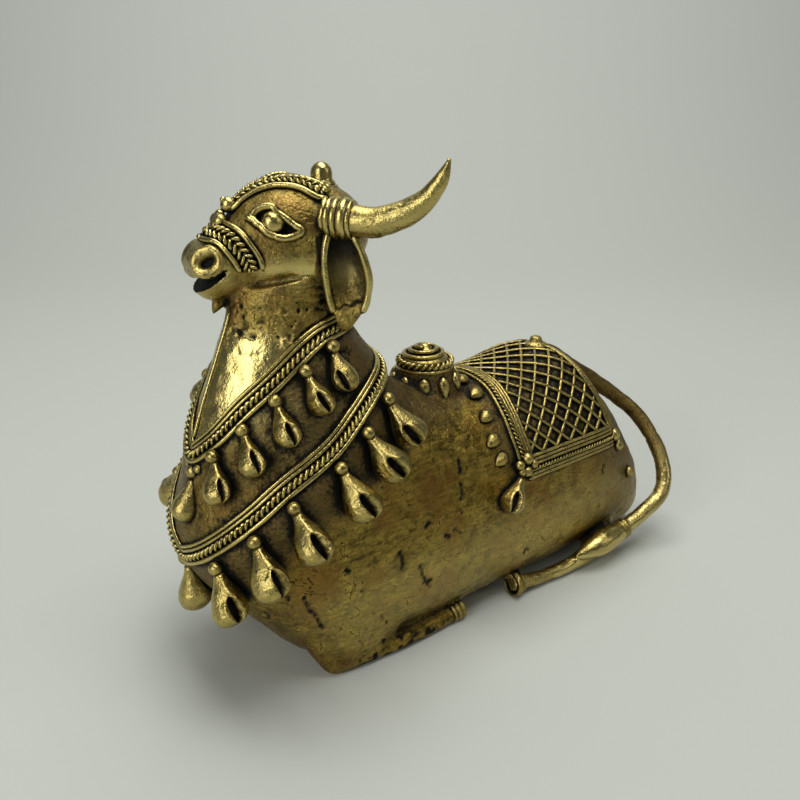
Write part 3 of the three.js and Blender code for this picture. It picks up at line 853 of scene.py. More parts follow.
def linear(code):
    """sRGB hex colour as the linear colour that a node takes."""
    parts = [int(code.lstrip("#")[k : k + 2], 16) / 255 for k in (0, 2, 4)]
    return tuple(p / 12.92 if p <= 0.04045 else ((p + 0.055) / 1.055) ** 2.4 for p in parts) + (1.0,)


def per_mm(size):
    """Texture scale, in repeats a metre, for a pattern whose repeat is size mm."""
    return 1000.0 / size


def add(tree, kind, inputs, out=0, **settings):
    """Adds a node with its settings, gives its inputs values or links, and returns one output."""
    node = tree.nodes.new("ShaderNode" + kind)
    for key, value in settings.items():
        setattr(node, key, value)
    for key, value in inputs.items() if isinstance(inputs, dict) else enumerate(inputs):
        if isinstance(value, bpy.types.NodeSocket):
            tree.links.new(value, node.inputs[key])
        else:
            node.inputs[key].default_value = value
    return node.outputs[out] if node.outputs else None


def cast_brass(name, colours, rub):
    """Lost-wax brass, brushed by hand: yellow metal on the high parts, brown rubbed patches, and a near-black
    patina left in the hollows, which makes each thread and bell stand out. Where the polish is raised it also
    paints highlights and a reflection, and where the grime and pits are raised it also paints shade."""
    material = bpy.data.materials.new(name)
    material.use_nodes = True
    tree = material.node_tree
    tree.nodes.clear()
    place = add(tree, "TexCoord", {}, "Object")
    layers = ("hollow", "polish_and_sheen", "grime_and_shade", "pits_and_shade")
    hollow, polish_and_sheen, grime_and_shade, pits_and_shade = (
        add(tree, "Attribute", {}, "Fac", attribute_name=layer) for layer in layers
    )

    # Tarnish in clouds as wide as a fingertip, 14 mm, in blotches of 9 mm and in spots of 4 mm
    clouds = add(tree, "TexNoise", {"Vector": place, "Scale": per_mm(14), "Detail": 4.0, "Roughness": 0.6})
    blotch = {"Vector": place, "Scale": per_mm(9), "Detail": 6.0, "Roughness": 0.68, "Distortion": 0.8}
    spot = {"Vector": place, "Scale": per_mm(4), "Detail": 5.0, "Roughness": 0.65, "Distortion": 0.4}
    stains = add(tree, "TexNoise", blotch)
    spots = add(tree, "TexNoise", spot)
    # Grain left by the sand and clay of the mould, about 0.45 mm, drawn twice as coarse so that it shows
    sand = add(tree, "TexNoise", {"Vector": place, "Scale": per_mm(0.9), "Detail": 3.0, "Roughness": 0.7})
    # Brush scratches, a few mm long and 0.7 mm apart, coarser than a real brush's so that they show
    stretch = add(tree, "Mapping", {"Vector": place, "Rotation": (0.5, 0.35, 0.7), "Scale": (0.16, 1.0, 0.8)})
    brush = add(tree, "TexNoise", {"Vector": stretch, "Scale": per_mm(0.7), "Detail": 2.0, "Distortion": 0.6})
    # Shrinkage cracks round cells of 5 mm, and pinholes 1.7 mm apart, both bent by noise of 3 mm. They
    # show where the spots are strong, and fade where the metal is polished.
    wander = add(tree, "TexNoise", {"Vector": place, "Scale": per_mm(3)}, "Color")
    bend = add(tree, "VectorMath", [wander, (0.004,) * 3, place], operation="MULTIPLY_ADD")
    cells = add(tree, "TexVoronoi", {"Vector": bend, "Scale": per_mm(5)}, feature="DISTANCE_TO_EDGE")
    pinholes = add(tree, "TexVoronoi", {"Vector": bend, "Scale": per_mm(1.7)})
    fade = {"To Min": 1.0, "To Max": 0.0}
    crack = add(tree, "MapRange", {"Value": cells, "From Max": 0.034, **fade})
    pit = add(tree, "MapRange", {"Value": pinholes, "From Min": 0.12, "From Max": 0.24, **fade})
    broken = add(tree, "MapRange", {"Value": spots, "From Min": 0.54, "From Max": 0.62})
    plain = add(tree, "Math", [1.0, polish_and_sheen], operation="SUBTRACT")
    crack = add(tree, "Math", [crack, broken], operation="MULTIPLY")
    crack = add(tree, "Math", [crack, plain], operation="MULTIPLY")
    pit = add(tree, "Math", [pit, broken], operation="MULTIPLY")
    pit = add(tree, "Math", [pit, plain], operation="MULTIPLY")

    # How yellow, brown, bright and stained the metal is
    tone = add(tree, "Math", [brush, 0.5, spots], operation="MULTIPLY_ADD")
    tone = add(tree, "Math", [sand, 0.45, tone], operation="MULTIPLY_ADD")
    tone = add(tree, "MapRange", {"Value": tone, "From Min": 0.8, "From Max": 1.2})
    most_brown = 0.75 - 0.5 * rub
    brown = add(tree, "MapRange", {"Value": clouds, "From Min": 0.48, "From Max": 0.64, "To Max": most_brown})
    shine = add(tree, "Math", [polish_and_sheen, 0.85], operation="MULTIPLY")
    stain = add(tree, "MapRange", {"Value": stains, "From Min": 0.48, "From Max": 0.74, "To Max": 0.38})
    stain = add(tree, "Math", [stain, plain], operation="MULTIPLY")

    # Grey-brown dull skin where the brush never reached, which also paints shade on the rump and behind the
    # jaw; near black at the bottom of hollows, and as painted shade in slits, holes and the mouth
    mottle = add(tree, "Math", [spots, sand], operation="ADD")
    uneven = {"From Min": 0.75, "From Max": 1.25, "To Min": 0.55, "To Max": 1.15}
    mottle = add(tree, "MapRange", {"Value": mottle, **uneven})
    dull_and_shade = add(tree, "Math", [grime_and_shade, mottle], operation="MULTIPLY", use_clamp=True)
    rough_edge = add(tree, "Math", [sand, 0.5, -0.25], operation="MULTIPLY_ADD")
    dark = add(tree, "Math", [polish_and_sheen, -0.3, hollow], operation="MULTIPLY_ADD")
    dark = add(tree, "Math", [dull_and_shade, 0.22, dark], operation="MULTIPLY_ADD")
    dark = add(tree, "Math", [dark, rough_edge], operation="ADD")
    soft = {"interpolation_type": "SMOOTHSTEP"}
    dark = add(tree, "MapRange", {"Value": dark, "From Min": 0.12, "From Max": 0.52}, **soft)
    deep = add(tree, "MapRange", {"Value": pits_and_shade, "From Min": 0.3, "From Max": 0.75})
    deep = add(tree, "Math", [deep, crack], operation="MAXIMUM")
    dark = add(tree, "Math", [dark, deep], operation="MAXIMUM")
    dark = add(tree, "Math", [dark, pit], operation="MAXIMUM", use_clamp=True)

    colour = add(tree, "Mix", {0: tone, 6: colours.olive, 7: colours.yellow}, 2, data_type="RGBA")
    for share, coat in (
        (brown, colours.brown),
        (shine, colours.polished_and_highlight),
        (stain, colours.umber),
        (dull_and_shade, colours.leather_and_shade),
        (dark, colours.patina),
    ):
        colour = add(tree, "Mix", {0: share, 6: colour, 7: coat}, 2, data_type="RGBA")

    # Bare brass is fully metallic. Patina and dull skin are partly oxide, so less metallic and rougher.
    matt = add(tree, "Math", [dull_and_shade, 0.3, dark], operation="MULTIPLY_ADD", use_clamp=True)
    metal = add(tree, "MapRange", {"Value": matt, "To Min": 1.0, "To Max": 0.7})
    brushed = {"From Min": 0.3, "From Max": 0.7, "To Min": 0.27, "To Max": 0.47}
    rough = add(tree, "MapRange", {"Value": spots, **brushed})
    rough = add(tree, "Math", [polish_and_sheen, -0.18, rough], operation="MULTIPLY_ADD")
    rough = add(tree, "Math", [matt, 0.35, rough], operation="MULTIPLY_ADD", use_clamp=True)

    height = add(tree, "Math", [brush, 0.5, sand], operation="MULTIPLY_ADD")
    height = add(tree, "Math", [crack, -1.6, height], operation="MULTIPLY_ADD")
    height = add(tree, "Math", [pit, -1.2, height], operation="MULTIPLY_ADD")
    relief = add(tree, "Math", [plain, 0.75, 0.2 - 0.1 * rub], operation="MULTIPLY_ADD")
    bump = add(tree, "Bump", {"Height": height, "Strength": relief, "Distance": 0.0004})
    surface = {"Base Color": colour, "Metallic": metal, "Roughness": rough, "Normal": bump}
    add(tree, "OutputMaterial", {"Surface": add(tree, "BsdfPrincipled", surface)})
    return material


def matt_paper(name, colours):
    """Rolled paper, matt: an even light grey with soft shadows and no highlights. The tooth of such paper
    is well under 1 mm, and is drawn at 1.5 mm so that it shows."""
    material = bpy.data.materials.new(name)
    material.use_nodes = True
    tree = material.node_tree
    tree.nodes.clear()
    place = add(tree, "TexCoord", {}, "Object")
    tooth = add(tree, "TexNoise", {"Vector": place, "Scale": per_mm(1.5), "Detail": 3.0})
    bump = add(tree, "Bump", {"Height": tooth, "Strength": 0.08, "Distance": 0.0002})
    surface = {"Base Color": colours.paper, "Roughness": 0.75, "Normal": bump}
    add(tree, "OutputMaterial", {"Surface": add(tree, "BsdfPrincipled", surface)})
    return material


def brass(kind):
    """The brass of the body or of the ornaments, made once."""
    if kind not in FORMS:
        colours = bpy.context.scene.nandi_colours
        kinds = {"skin": ("cast_brass_hand_brushed", 0.0), "trim": ("cast_brass_rubbed_bright", 1.0)}
        name, rub = kinds[kind]
        FORMS[kind] = cast_brass(name, colours, rub)
    return FORMS[kind]


def colour(name, description, code):
    """Colour property whose default is an sRGB hex value."""
    return bpy.props.FloatVectorProperty(
        name=name, description=description, subtype="COLOR", size=4, min=0, max=1, default=linear(code)
    )


def millimetres(name, description, default, least, most):
    """Size property in millimetres."""
    return bpy.props.FloatProperty(
        name=name, description=description + " in millimetres", default=default, min=least, max=most
    )


class NandiColours(bpy.types.PropertyGroup):
    """Colours of the brass and of the studio."""

    yellow: colour("Yellow brass", "Brushed metal", "#B89C48")
    olive: colour("Olive brass", "Lightly tarnished metal", "#57491E")
    brown: colour("Brown brass", "Rubbed brown patches", "#85602A")
    # polished brass also paints highlights on the cheeks and throat and a reflection on the low flank
    polished_and_highlight: colour("Polished brass", "High parts rubbed bright", "#DCCB82")
    umber: colour("Umber brass", "Dark tarnish in blotches", "#3F3215")
    # dull skin also paints shade on the rump and on the neck behind the jaw
    leather_and_shade: colour("Dull skin", "Grey-brown skin between the necklaces and in the cloth", "#655639")
    # patina also paints shade in the mouth, the nostrils, the bells' slits, the hooves' hollows and on the
    # lower forelegs
    patina: colour("Patina", "Near-black skin in the hollows", "#14130E")
    paper: colour("Paper sweep", "Floor and backdrop", "#C0C4BD")


class NandiSizes(bpy.types.PropertyGroup):
    """Sizes of the cast relief."""

    thread: millimetres("Thread", "Thickness of the wax threads", 1.2, 0.6, 2.0)
    cord: millimetres("Twisted cord", "Width of the twisted cords", 1.75, 1.0, 3.0)
    unevenness: millimetres("Unevenness", "Depth of the hand-modelled unevenness", 0.55, 0.0, 1.5)
    lattice: millimetres("Lattice", "Pitch of the saddle cloth's lattice along the back", 6.2, 3.0, 9.0)
    skin: millimetres("Skin detail", "Size of the body's mesh", 0.82, 0.5, 2.0)


class NANDI_OT_body(bpy.types.Operator):
    """Models the couched body with its legs, hump and tail"""

    bl_idname = "nandi.body"
    bl_label = "Body"

    def execute(self, context):
        sizes = context.scene.nandi_sizes
        points, quads = fused(trunk_form()["forms"], sizes.skin)
        points = relaxed(points, quads, 3)
        normal = normals_of(points, quads)
        lump = grain(points, 13, 1) + 0.6 * grain(points, 5.5, 2) + 0.42 * grain(points, 2.2, 4)
        points = points + normal * (lump * sizes.unevenness)[:, None]
        sunk = self.pressed(points, normal)
        # shallow file marks in patches
        x, y, z = points.T
        strokes = np.abs(np.sin((x * 0.8 + z * 0.5) * 2.1 + 3 * grain(points, 7, 9))) ** 8
        marks = strokes * (grain(points, 9, 12) > 0.08)
        sunk = np.maximum(sunk, 0.28 * marks)
        above, second = above_band(points), above_band(points, NECKLACES[1])
        under_head = smooth_step(0.2, 1.8, above) * (x < -26) * (z > 60)
        points = points - normal * (0.55 * sunk + 1.4 * under_head)[:, None]
        neck = smooth_step(66, 78, z) * smooth_step(-40, -56, x)
        slope = np.degrees(np.arctan2(np.abs(y), z - CLOTH["axis"]))
        front, rear = cloth_edges(slope)
        # where the brush never reached: in the cloth, between and under the necklaces, round the cap and
        # among the leaf drops; the upper rump is darkened as painted shade
        on_cloth = (slope < CLOTH["low"]) & (x > front) & (x < rear) & (z > 35)
        between = smooth_step(0, -2, above) * smooth_step(0, 2, second) * (x < -18)
        between = between * (1 - 0.45 * smooth_step(-62, -78, x))
        under_bells = smooth_step(0, -2, second) * smooth_step(-22, -13, second) * (x < -8)
        near_cap = smooth_step(17, 11, np.hypot(x - HUMP_X, y)) * (z > 60)
        drops = smooth_step(-10, -7, x - front) * smooth_step(0, -3, x - front) * (slope < 60) * (z > 40)
        # the rear of the trunk above the legs, darkened as painted shade
        rump_shade = smooth_step(30, 62, x) * (1 - smooth_step(18, 8, z))
        grime_and_shade = 0.55 * on_cloth + 0.74 * between + 0.8 * under_bells
        grime_and_shade = grime_and_shade + 0.7 * near_cap + 0.6 * drops + 0.55 * rump_shade
        # the crusty skin of the forelegs, darker towards the floor as painted shade
        shin = (z < 8) * (np.abs(y) > 21.5) * (x < -12) * (x > -52)
        crust = 2.2 * grain(points, 1.1, 51) + 0.1 + 0.5 * smooth_step(3.0, 1.0, z)
        sunk = np.maximum(sunk, shin * np.clip(crust, 0, 1))
        # where hands and the brush rub most: the tail and the hind legs, and the throat, which also takes a
        # painted highlight. The low flank is rubbed and also lightened as a painted reflection of the floor.
        low_flank_rub_and_reflection = smooth_step(30, 44, np.abs(y) + 12) * smooth_step(4, 12, z) * (1 - smooth_step(22, 38, z))
        tail = smooth_step(86, 92, np.hypot(x, y)) + (np.abs(y) > 32.3)
        legs = 0.45 * (z < 7.5) * (np.abs(y) > 22) * (x > -12)
        polish_and_sheen = np.clip(0.3 * neck + 0.3 * low_flank_rub_and_reflection + 0.5 * tail + legs, 0, 1)
        skin_brass = brass("skin")
        make_piece("bull_body", (points, quads), skin_brass, polish_and_sheen, np.clip(grime_and_shade, 0, 0.8), sunk)
        return {"FINISHED"}

    def pressed(self, points, normal):
        """How deep each point is pressed, from 0 to 1, by cracks, small wandering cracks and pits."""
        tree = KDTree(len(points))
        for i, p in enumerate(points):
            tree.insert(p, i)
        tree.balance()
        sunk = np.zeros(len(points))

        def press(place, wide, deep):
            for _, k, gap in tree.find_range(Vector(place), wide):
                sunk[k] = max(sunk[k], deep * (1 - (gap / wide) ** 2))

        for line in CRACKS:
            for place in along(line, 14 * len(line)):
                press(place + 0.2 * RNG.normal(size=3), 0.95, RNG.uniform(0.5, 1.0))
        small_cracks, step = 210, 0.7
        for _ in range(small_cracks):
            i = int(RNG.integers(len(points)))
            p = points[i].copy()
            way = unit(np.cross(normal[i], RNG.normal(size=3)))
            deep = RNG.uniform(0.4, 1.0)
            for _ in range(int(RNG.integers(1, 8))):
                press(p, 0.9, deep)
                _, i, _ = tree.find(Vector(p))
                way = unit(way + 0.7 * RNG.normal(size=3) - normal[i] * np.dot(way, normal[i]))
                p = points[i] + way * step
        # pits on the left foreleg
        pits = 46
        for _ in range(pits):
            press([RNG.uniform(-50, -30), -26.5 + RNG.normal() * 2.2, RNG.uniform(0.5, 6.5)], 0.8, 0.75)
        return sunk


class NANDI_OT_necklaces(bpy.types.Operator):
    """Lays the two necklaces round the neck, of threads and a twisted cord, and a ridge on the throat"""

    bl_idname = "nandi.necklaces"
    bl_label = "Necklaces"

    def execute(self, context):
        sizes = context.scene.nandi_sizes
        seat = trunk_form()["seat"]
        thread, cord = sizes.thread / 2, sizes.cord / 2
        forms = []
        for band in NECKLACES:
            rays = [band_ray(band, d) for d in np.linspace(-180, 180, 120, endpoint=False)]
            middle = laid(seat, rays, loop=True, ease=10)
            forms += threads_beside(seat, middle, (-2.2,), thread * 1.12, 0.95, True)
            inner = beside(seat, middle, -0.5, True)
            forms.append(rope(inner, cord * 1.16, 3.4, loop=True, lift=0.75, sides=9))
            forms += threads_beside(seat, middle, (1.25, 2.35), thread * 0.82, 0.95, True)
        ridge = [band_ray({"rise": [[0, z], [90, z], [180, z]]}, 2) for z in np.linspace(70, 101, 24)]
        forms.append(wire(laid(seat, ridge), 0.6, 0.3))
        make_piece("necklace_cords", forms, brass("trim"), polish_and_sheen=0.75)
        return {"FINISHED"}


class NANDI_OT_bells(bpy.types.Operator):
    """Hangs the pear-shaped bells with their beads from the necklaces and the saddle cloth"""

    bl_idname = "nandi.bells"
    bl_label = "Bells"

    def execute(self, context):
        seat = trunk_form()["seat"]
        bells, beads, dark = [], [], []

        def hang_bell(*numbers):
            verts, faces, shade = crotal_bell(*numbers)
            bells.append((verts, faces))
            dark.append(shade)

        for band in NECKLACES:
            size = band["size"]
            for degrees in [band["front"], *band["bells"]]:
                after = seat.cast(*band_ray(band, degrees + 4))
                before = seat.cast(*band_ray(band, degrees - 4))
                normal = seat.cast(*band_ray(band, degrees, 2))[3:]
                square = unit(np.cross(unit(after[:3] - before[:3]), normal))
                square = square if square[2] < 0 else -square
                down = unit(np.array([0, 0, -1.0]) + normal * normal[2])
                front = degrees == band["front"]
                lean = 0.1 if front else band["lean"]
                hang = unit(down * (1 - lean) + square * lean)
                at = seat.cast(*band_ray(band, degrees))[:3] + square * band["drop"]
                at = seat.cast(at + normal * 8, -normal)
                side = 1 if degrees > 20 else -1
                outward = unit(at[3:] - hang * np.dot(at[3:], hang))
                near = 75 if front else max(-70, min(50, abs(degrees) - band["slit_to"]))
                slit = -side * math.radians(near) + RNG.uniform(-0.12, 0.12)
                low = RNG.choice([-0.03, -0.03, 0.0])
                top = at[:3] + outward * (-0.5 if front else 1.4)
                body = top + hang * size * (0.24 if front else 0.14)
                hang_bell(body, at[3:], hang, size * 0.86, band["reach"], slit, 0.5 * side, low)
                bead = top + hang * size * 0.04 + outward * 0.5
                beads.append(round_bead(bead, 1.75, outward, 0.9))
                if front:
                    beads.append(round_bead(bead - hang * 3.0 - outward * 0.6, 1.9, outward))
                    for k in (-1, 1):
                        beside_it = bead - hang * 0.8 + np.array([0.3, 2.4 * k, 0.6])
                        beads.append(round_bead(beside_it, 1.25, outward))
        for side in (-1, 1):
            for x, slope, radius in CORNER_BEADS:
                beads.append(bead_on(seat.cast(*on_back(x, side * slope)), 1.1, radius))
            spot = seat.cast(*on_back(9.2, side * 66.5))
            hang = unit(np.array([-1.0, 0, -1.0]) + spot[3:] * spot[5])
            top = spot[:3] + spot[3:] * (1.4 if side < 0 else 0.4)
            hang_bell(top, spot[3:], hang, 11.6, 3.9, -0.55 * side, 0.4 * side, 0.0)
            for x, slope, radius in HIND_BEADS:
                beads.append(bead_on(seat.cast(*on_back(x, side * slope)), 0.6, radius))
        # the bells' slits are darkened as painted shade
        make_piece("bells", bells, brass("trim"), polish_and_sheen=0.5, pits_and_shade=np.concatenate(dark))
        make_piece("bell_beads", beads, brass("trim"), polish_and_sheen=0.5)
        return {"FINISHED"}


class NANDI_OT_saddle_cloth(bpy.types.Operator):
    """Lays the saddle cloth: a lattice of threads, borders of threads and twisted cord, and leaf drops"""

    bl_idname = "nandi.saddle_cloth"
    bl_label = "Saddle cloth"

    def execute(self, context):
        sizes = context.scene.nandi_sizes
        seat = trunk_form()["seat"]
        thread, cord = sizes.thread / 2, sizes.cord / 2
        lattice, border = [], []
        slopes = np.linspace(-64, 64, 129)
        ridge = np.array([seat.cast(*on_back(32, slope))[:3] for slope in slopes])
        run = np.concatenate([[0], np.cumsum(np.linalg.norm(np.diff(ridge, axis=0), axis=1))])
        run -= np.interp(0, slopes, run)
        reach = np.interp(59.0, slopes, run)
        for start in np.arange(-60, 110, sizes.lattice):
            for hand, lift in ((1, 0.55), (-1, 0.7)):
                stretches = [[]]
                for s in np.arange(-reach, reach + 0.1, 0.7):
                    x = start + hand * s
                    slope = float(np.interp(s, run, slopes))
                    front, rear = cloth_edges(slope)
                    if front + 2.4 < x < rear - 1.6:
                        stretches[-1].append(on_back(x, slope))
                    elif stretches[-1]:
                        stretches.append([])
                for rays in stretches:
                    if len(rays) > 3:
                        lattice.append(wire(laid(seat, rays, ease=2), thread * 0.92, lift, sides=6))
        low_edge = CLOTH["low"]
        span = np.linspace(-low_edge, low_edge, 100)
        front = laid(seat, [on_back(cloth_edges(s)[0], s) for s in span])
        border += threads_beside(seat, front, (2.5, 1.4, 0.3), thread * 0.95, 0.85)
        border.append(rope(beside(seat, front, -1.1), cord * 0.95, 2.9, lift=0.75))
        border += threads_beside(seat, front, (-2.5,), thread * 0.95, 0.85)
        rear = laid(seat, [on_back(cloth_edges(s)[1], s) for s in span])
        border += threads_beside(seat, rear, (-1.5, -0.1, 1.3), thread * 1.05, 0.85)
        for side in (-1, 1):
            low = laid(seat, [on_back(x, side * low_edge) for x in np.linspace(*cloth_edges(low_edge), 70)])
            border += threads_beside(seat, low, (-3.4 * side, -2.3 * side), thread * 0.95, 0.85)
            border.append(rope(beside(seat, low, -0.9 * side), cord * 0.86, 2.7, lift=0.7))
            border += threads_beside(seat, low, (0.6 * side, 1.8 * side, 3.0 * side), thread * 0.95, 0.85)
            hang = np.array([-0.9, side * 0.22, -0.25])
            for x, slope in CLOTH_LEAVES:
                spot = seat.cast(*on_back(x, side * slope))
                border.append(leaf(spot[:3] - unit(hang) * 2.9, spot[3:], hang, 5.6, 3.9, 2.0))
        knob = seat.cast((46.5, 0, 160), (0, 0, -1))
        border.append(turned_form(knob[:3] - [0, 0, 0.6], (0, 0, 1), CLOTH_KNOB, 24))
        make_piece("cloth_lattice", lattice, brass("trim"), polish_and_sheen=0.4)
        make_piece("cloth_borders", border, brass("trim"), polish_and_sheen=0.4)
        return {"FINISHED"}


class NANDI_OT_hump_cap(bpy.types.Operator):
    """Caps the hump: a cone wound with thread, a twisted rim and a ring of leaf drops"""

    bl_idname = "nandi.hump_cap"
    bl_label = "Hump cap"

    def execute(self, context):
        middle = np.array([HUMP_X, 0.0, 0.0])
        forms = [turned_form(middle, (0, 0, 1), CAP_CONE, 40)]
        out = circle(90)
        rim = np.column_stack([middle + out * 7.6 + [0, 0, 75.4], unit(out + [0, 0, 0.5])])
        forms.append(rope(rim, 1.15, 3.6, loop=True, lift=0.2, sides=9))
        lower = np.column_stack([middle + out * 8.2 + [0, 0, 73.9], out])
        forms.append(wire(lower, 0.6, 0.2, loop=True))
        # a thread wound up the cone
        rounds = 2.6
        spiral = np.linspace(0, rounds * 2 * math.pi, 260)
        r = np.interp(spiral, [0, spiral[-1]], [6.8, 1.9])
        way = np.column_stack([np.cos(spiral), np.sin(spiral), np.zeros(len(spiral))])
        coil = middle + way * r[:, None]
        coil[:, 2] = np.interp(r, [1.5, 1.7, 2.9, 4.8, 6.7, 7.6], [80.2, 79.7, 79.1, 78.0, 76.8, 75.6])
        forms.append(wire(np.column_stack([coil, unit(way + [0, 0, 1.2])]), 0.7, 0.5))
        for k in range(10):
            b = 2 * math.pi * (k + 0.35) / 10
            way = np.array([math.cos(b), math.sin(b), 0.0])
            top = middle + way * 9.1 + [0, 0, 72.4]
            forms.append(leaf(top, way + [0, 0, 0.25], way * 0.3 + [0, 0, -1], 6.0 + 0.8 * (k % 2), 3.3, 1.8))
        make_piece("hump_cap", forms, brass("trim"), polish_and_sheen=0.55)
        return {"FINISHED"}


class NANDI_OT_head(bpy.types.Operator):
    """Models the head with its open mouth, nostrils, eye hollows, cupped ears and horn"""

    bl_idname = "nandi.head"
    bl_label = "Head"

    def execute(self, context):
        skull, faces = head_loft(SKULL, 80, 64)
        jaw = (1 - smooth_step(105.5, 109.5, skull[:, 2])) * (1 - smooth_step(-74, -65, skull[:, 0]))
        skull = skull + np.column_stack([1.5 * jaw, -0.16 * jaw * skull[:, 1], -1.0 * jaw])
        (cx, cz), (ux, uz), (lx, lz) = MOUTH["corner"], MOUTH["upper"], MOUTH["lower"]
        above, under = ((cx + ux) / 2, (cz + uz) / 2 - 0.5), ((cx + lx) / 2, (cz + lz) / 2 - 0.4)
        opening = [(cx, cz), above, (ux, uz), (lx, lz), under]
        wedge = skin([[[at_x, y, at_z] for at_x, at_z in opening] for y in (-10, 10)])
        # the core closes the mouth behind the lips
        core = head_loft(np.array(SKULL[6:]) * [1, 1, 1, 0.5] + [6.2, 0, 0, 0], 30, 32)
        forms = [carved((skull, faces), wedge), core, rod(CHIN_TUFT, 16, 14)]
        for side in (1, -1):
            horn = mirrored(HORN if side < 0 else HORN[:3], side)
            forms.append(rod(horn, 12 * len(horn), 24))
            forms.append(self.ear(side))
        laid_out, faces = joined(forms)
        neck, neck_faces = trunk_form()["neck"]
        points, quads = fused([(turn_head(laid_out), faces), (neck, neck_faces)], HEAD_SKIN)
        points = relaxed(points, quads, 2)
        normal = normals_of(points, quads)
        back = turn_head(points, -1)
        facing = turn_head(normal + HEAD_PIVOT, -1) - HEAD_PIVOT
        x, y, z = back.T
        left = np.abs(y)
        on_head = smooth_step(103, 105, z)
        flank = (np.abs(facing[:, 1]) > 0.3) * (left < 14.5)
        push = 0.4 * grain(points, 7, 6) + 0.22 * grain(points, 2.4, 7)
        # nostrils: a thick raised ring round a hole that slants up to the rear
        from_hole = np.column_stack([x, left, z]) - NOSTRIL
        gap = np.linalg.norm(from_hole, axis=1)
        u = from_hole @ unit([0.84, 0.25, 0.42])
        v = from_hole @ unit([-0.42, 0.0, 0.84])
        hole = (1 - smooth_step(0.7, 1.2, np.sqrt((u / 2.2) ** 2 + (v / 1.25) ** 2))) * (gap < 3.8)
        push += 0.95 * np.exp(-(((gap - 3.2) / 1.0) ** 2)) * (x < -66.5) * (z > 110.5) - 2.1 * hole
        # eye hollows inside the rims
        (long, high), tilt = EYE_HOLLOW["half"], EYE_HOLLOW["tilt"]
        from_eye, over_eye = x - EYE_HOLLOW["x"], z - EYE_HOLLOW["z"]
        u = from_eye * math.cos(tilt) + over_eye * math.sin(tilt)
        v = -from_eye * math.sin(tilt) + over_eye * math.cos(tilt)
        eye = (1 - smooth_step(0.7, 1.0, (np.abs(u) / long) ** 1.3 + (np.abs(v) / high) ** 1.3)) * flank
        push -= eye * 1.1
        # a soft brow over the eye and a cheek bone under it
        push += 0.5 * np.exp(-(((z - 113.5 - 0.15 * (x + 55)) / 2.6) ** 2)) * flank * smooth_step(-66, -60, x)
        # creases where the jaw folds on to the throat
        for k in range(3):
            line = 107.0 - 1.75 * k - 0.1 * (x + 52) + 0.3 * np.sin(x * 0.9 + 1.7 * k)
            reach = smooth_step(-60, -55, x) * (1 - smooth_step(-45, -41, x))
            push -= 0.42 * np.exp(-(((z - line) / 0.36) ** 2)) * reach
        # crusty skin under the jaw, with worm-holes
        rough = smooth_step(-41, -47, x) * smooth_step(90, 96, z) * (1 - smooth_step(102.5, 105, z))
        crust = np.clip(1.2 * grain(points, 1.15, 31) + 0.6 * grain(points, 2.6, 32) - 0.1, 0, 0.7) * rough
        push -= 1.8 * crust
        for place, wide in WORM_HOLES:
            push -= 1.3 * np.exp(-((np.linalg.norm(points - place, axis=1) / wide) ** 2))
        # the ear's crack and its crusty outer edge
        at_ear = (left > 12.2) * (z < 119.5) * (x > -47) * (x < -33) * (z > 94.5)
        split = np.exp(-(((z - 102.4 - 0.25 * (x + 40) + 0.3 * np.sin(2.2 * x)) / 0.28) ** 2)) * at_ear
        push -= 0.5 * split
        push += 0.9 * np.clip(grain(points, 1.5, 41), 0, 1) * at_ear * smooth_step(-38.5, -36.8, x)
        above = above_band(points)
        hidden = 1 - smooth_step(-2.0, -0.4, above)
        push = push * (1 - hidden) - 1.5 * hidden
        points = points + normal * push[:, None]
        points[:, 2] = np.maximum(points[:, 2], 40)
        wide_open = np.clip(-65.2 - x, 0, 20)
        mouth = (z < 113 - 0.28 * wide_open) * (z > 112.6 - 0.78 * wide_open) * (x < -65.4)
        mouth = mouth * ((np.abs(facing[:, 2]) > 0.3) | (left < 3))
        into_ear = facing @ np.array([-0.45, 0.0, 0.0]) + np.abs(facing[:, 1]) * 0.89
        cup = at_ear * (into_ear > 0.35) * smooth_step(101.5, 106, z)
        up = points[:, 2]
        # painted shade on the neck behind the jaw and under the ear
        shade_behind_jaw = smooth_step(-52, -46, x) * smooth_step(82, 88, up) * (1 - smooth_step(103, 106, up))
        inside = cup * (0.55 + 0.4 * smooth_step(107, 115, z))
        # the nostrils' holes and the inside of the mouth are darkened as painted shade; the eye hollows and
        # the ear's cup are darkened too, and the ear's crack and the crust under the jaw are pits
        pits_and_shade = np.maximum(hole, 0.95 * mouth) + eye * 0.75 + 0.9 * split + 2.2 * crust
        pits_and_shade = np.clip(pits_and_shade + 0.72 * cup * smooth_step(99, 117, z), 0, 1)
        grime_and_shade = np.clip(0.8 * inside + 0.7 * shade_behind_jaw * (left < 12), 0, 0.8)
        horn = smooth_step(12.5, 14, left) * (z > 118.5)
        snout = smooth_step(-65, -68, x) * on_head
        # the throat's front is rubbed bright and also takes a painted highlight, and the cheek takes a
        # painted highlight along the jaw
        front = smooth_step(-52, -60, x) * (1 - smooth_step(94, 99, z)) * smooth_step(66, 74, z)
        cheek_highlight = np.exp(-(((z - 111) / 3.0) ** 2)) * smooth_step(-62, -58, x) * flank
        polish_and_sheen = np.clip(0.14 + 0.45 * horn + 0.4 * snout + 0.7 * front + 0.8 * cheek_highlight, 0, 1)
        make_piece("bull_head", (points, quads), brass("skin"), polish_and_sheen, grime_and_shade, pits_and_shade)
        FORMS["head"] = Surface(turn_head(points, -1), quads.tolist())
        return {"FINISHED"}

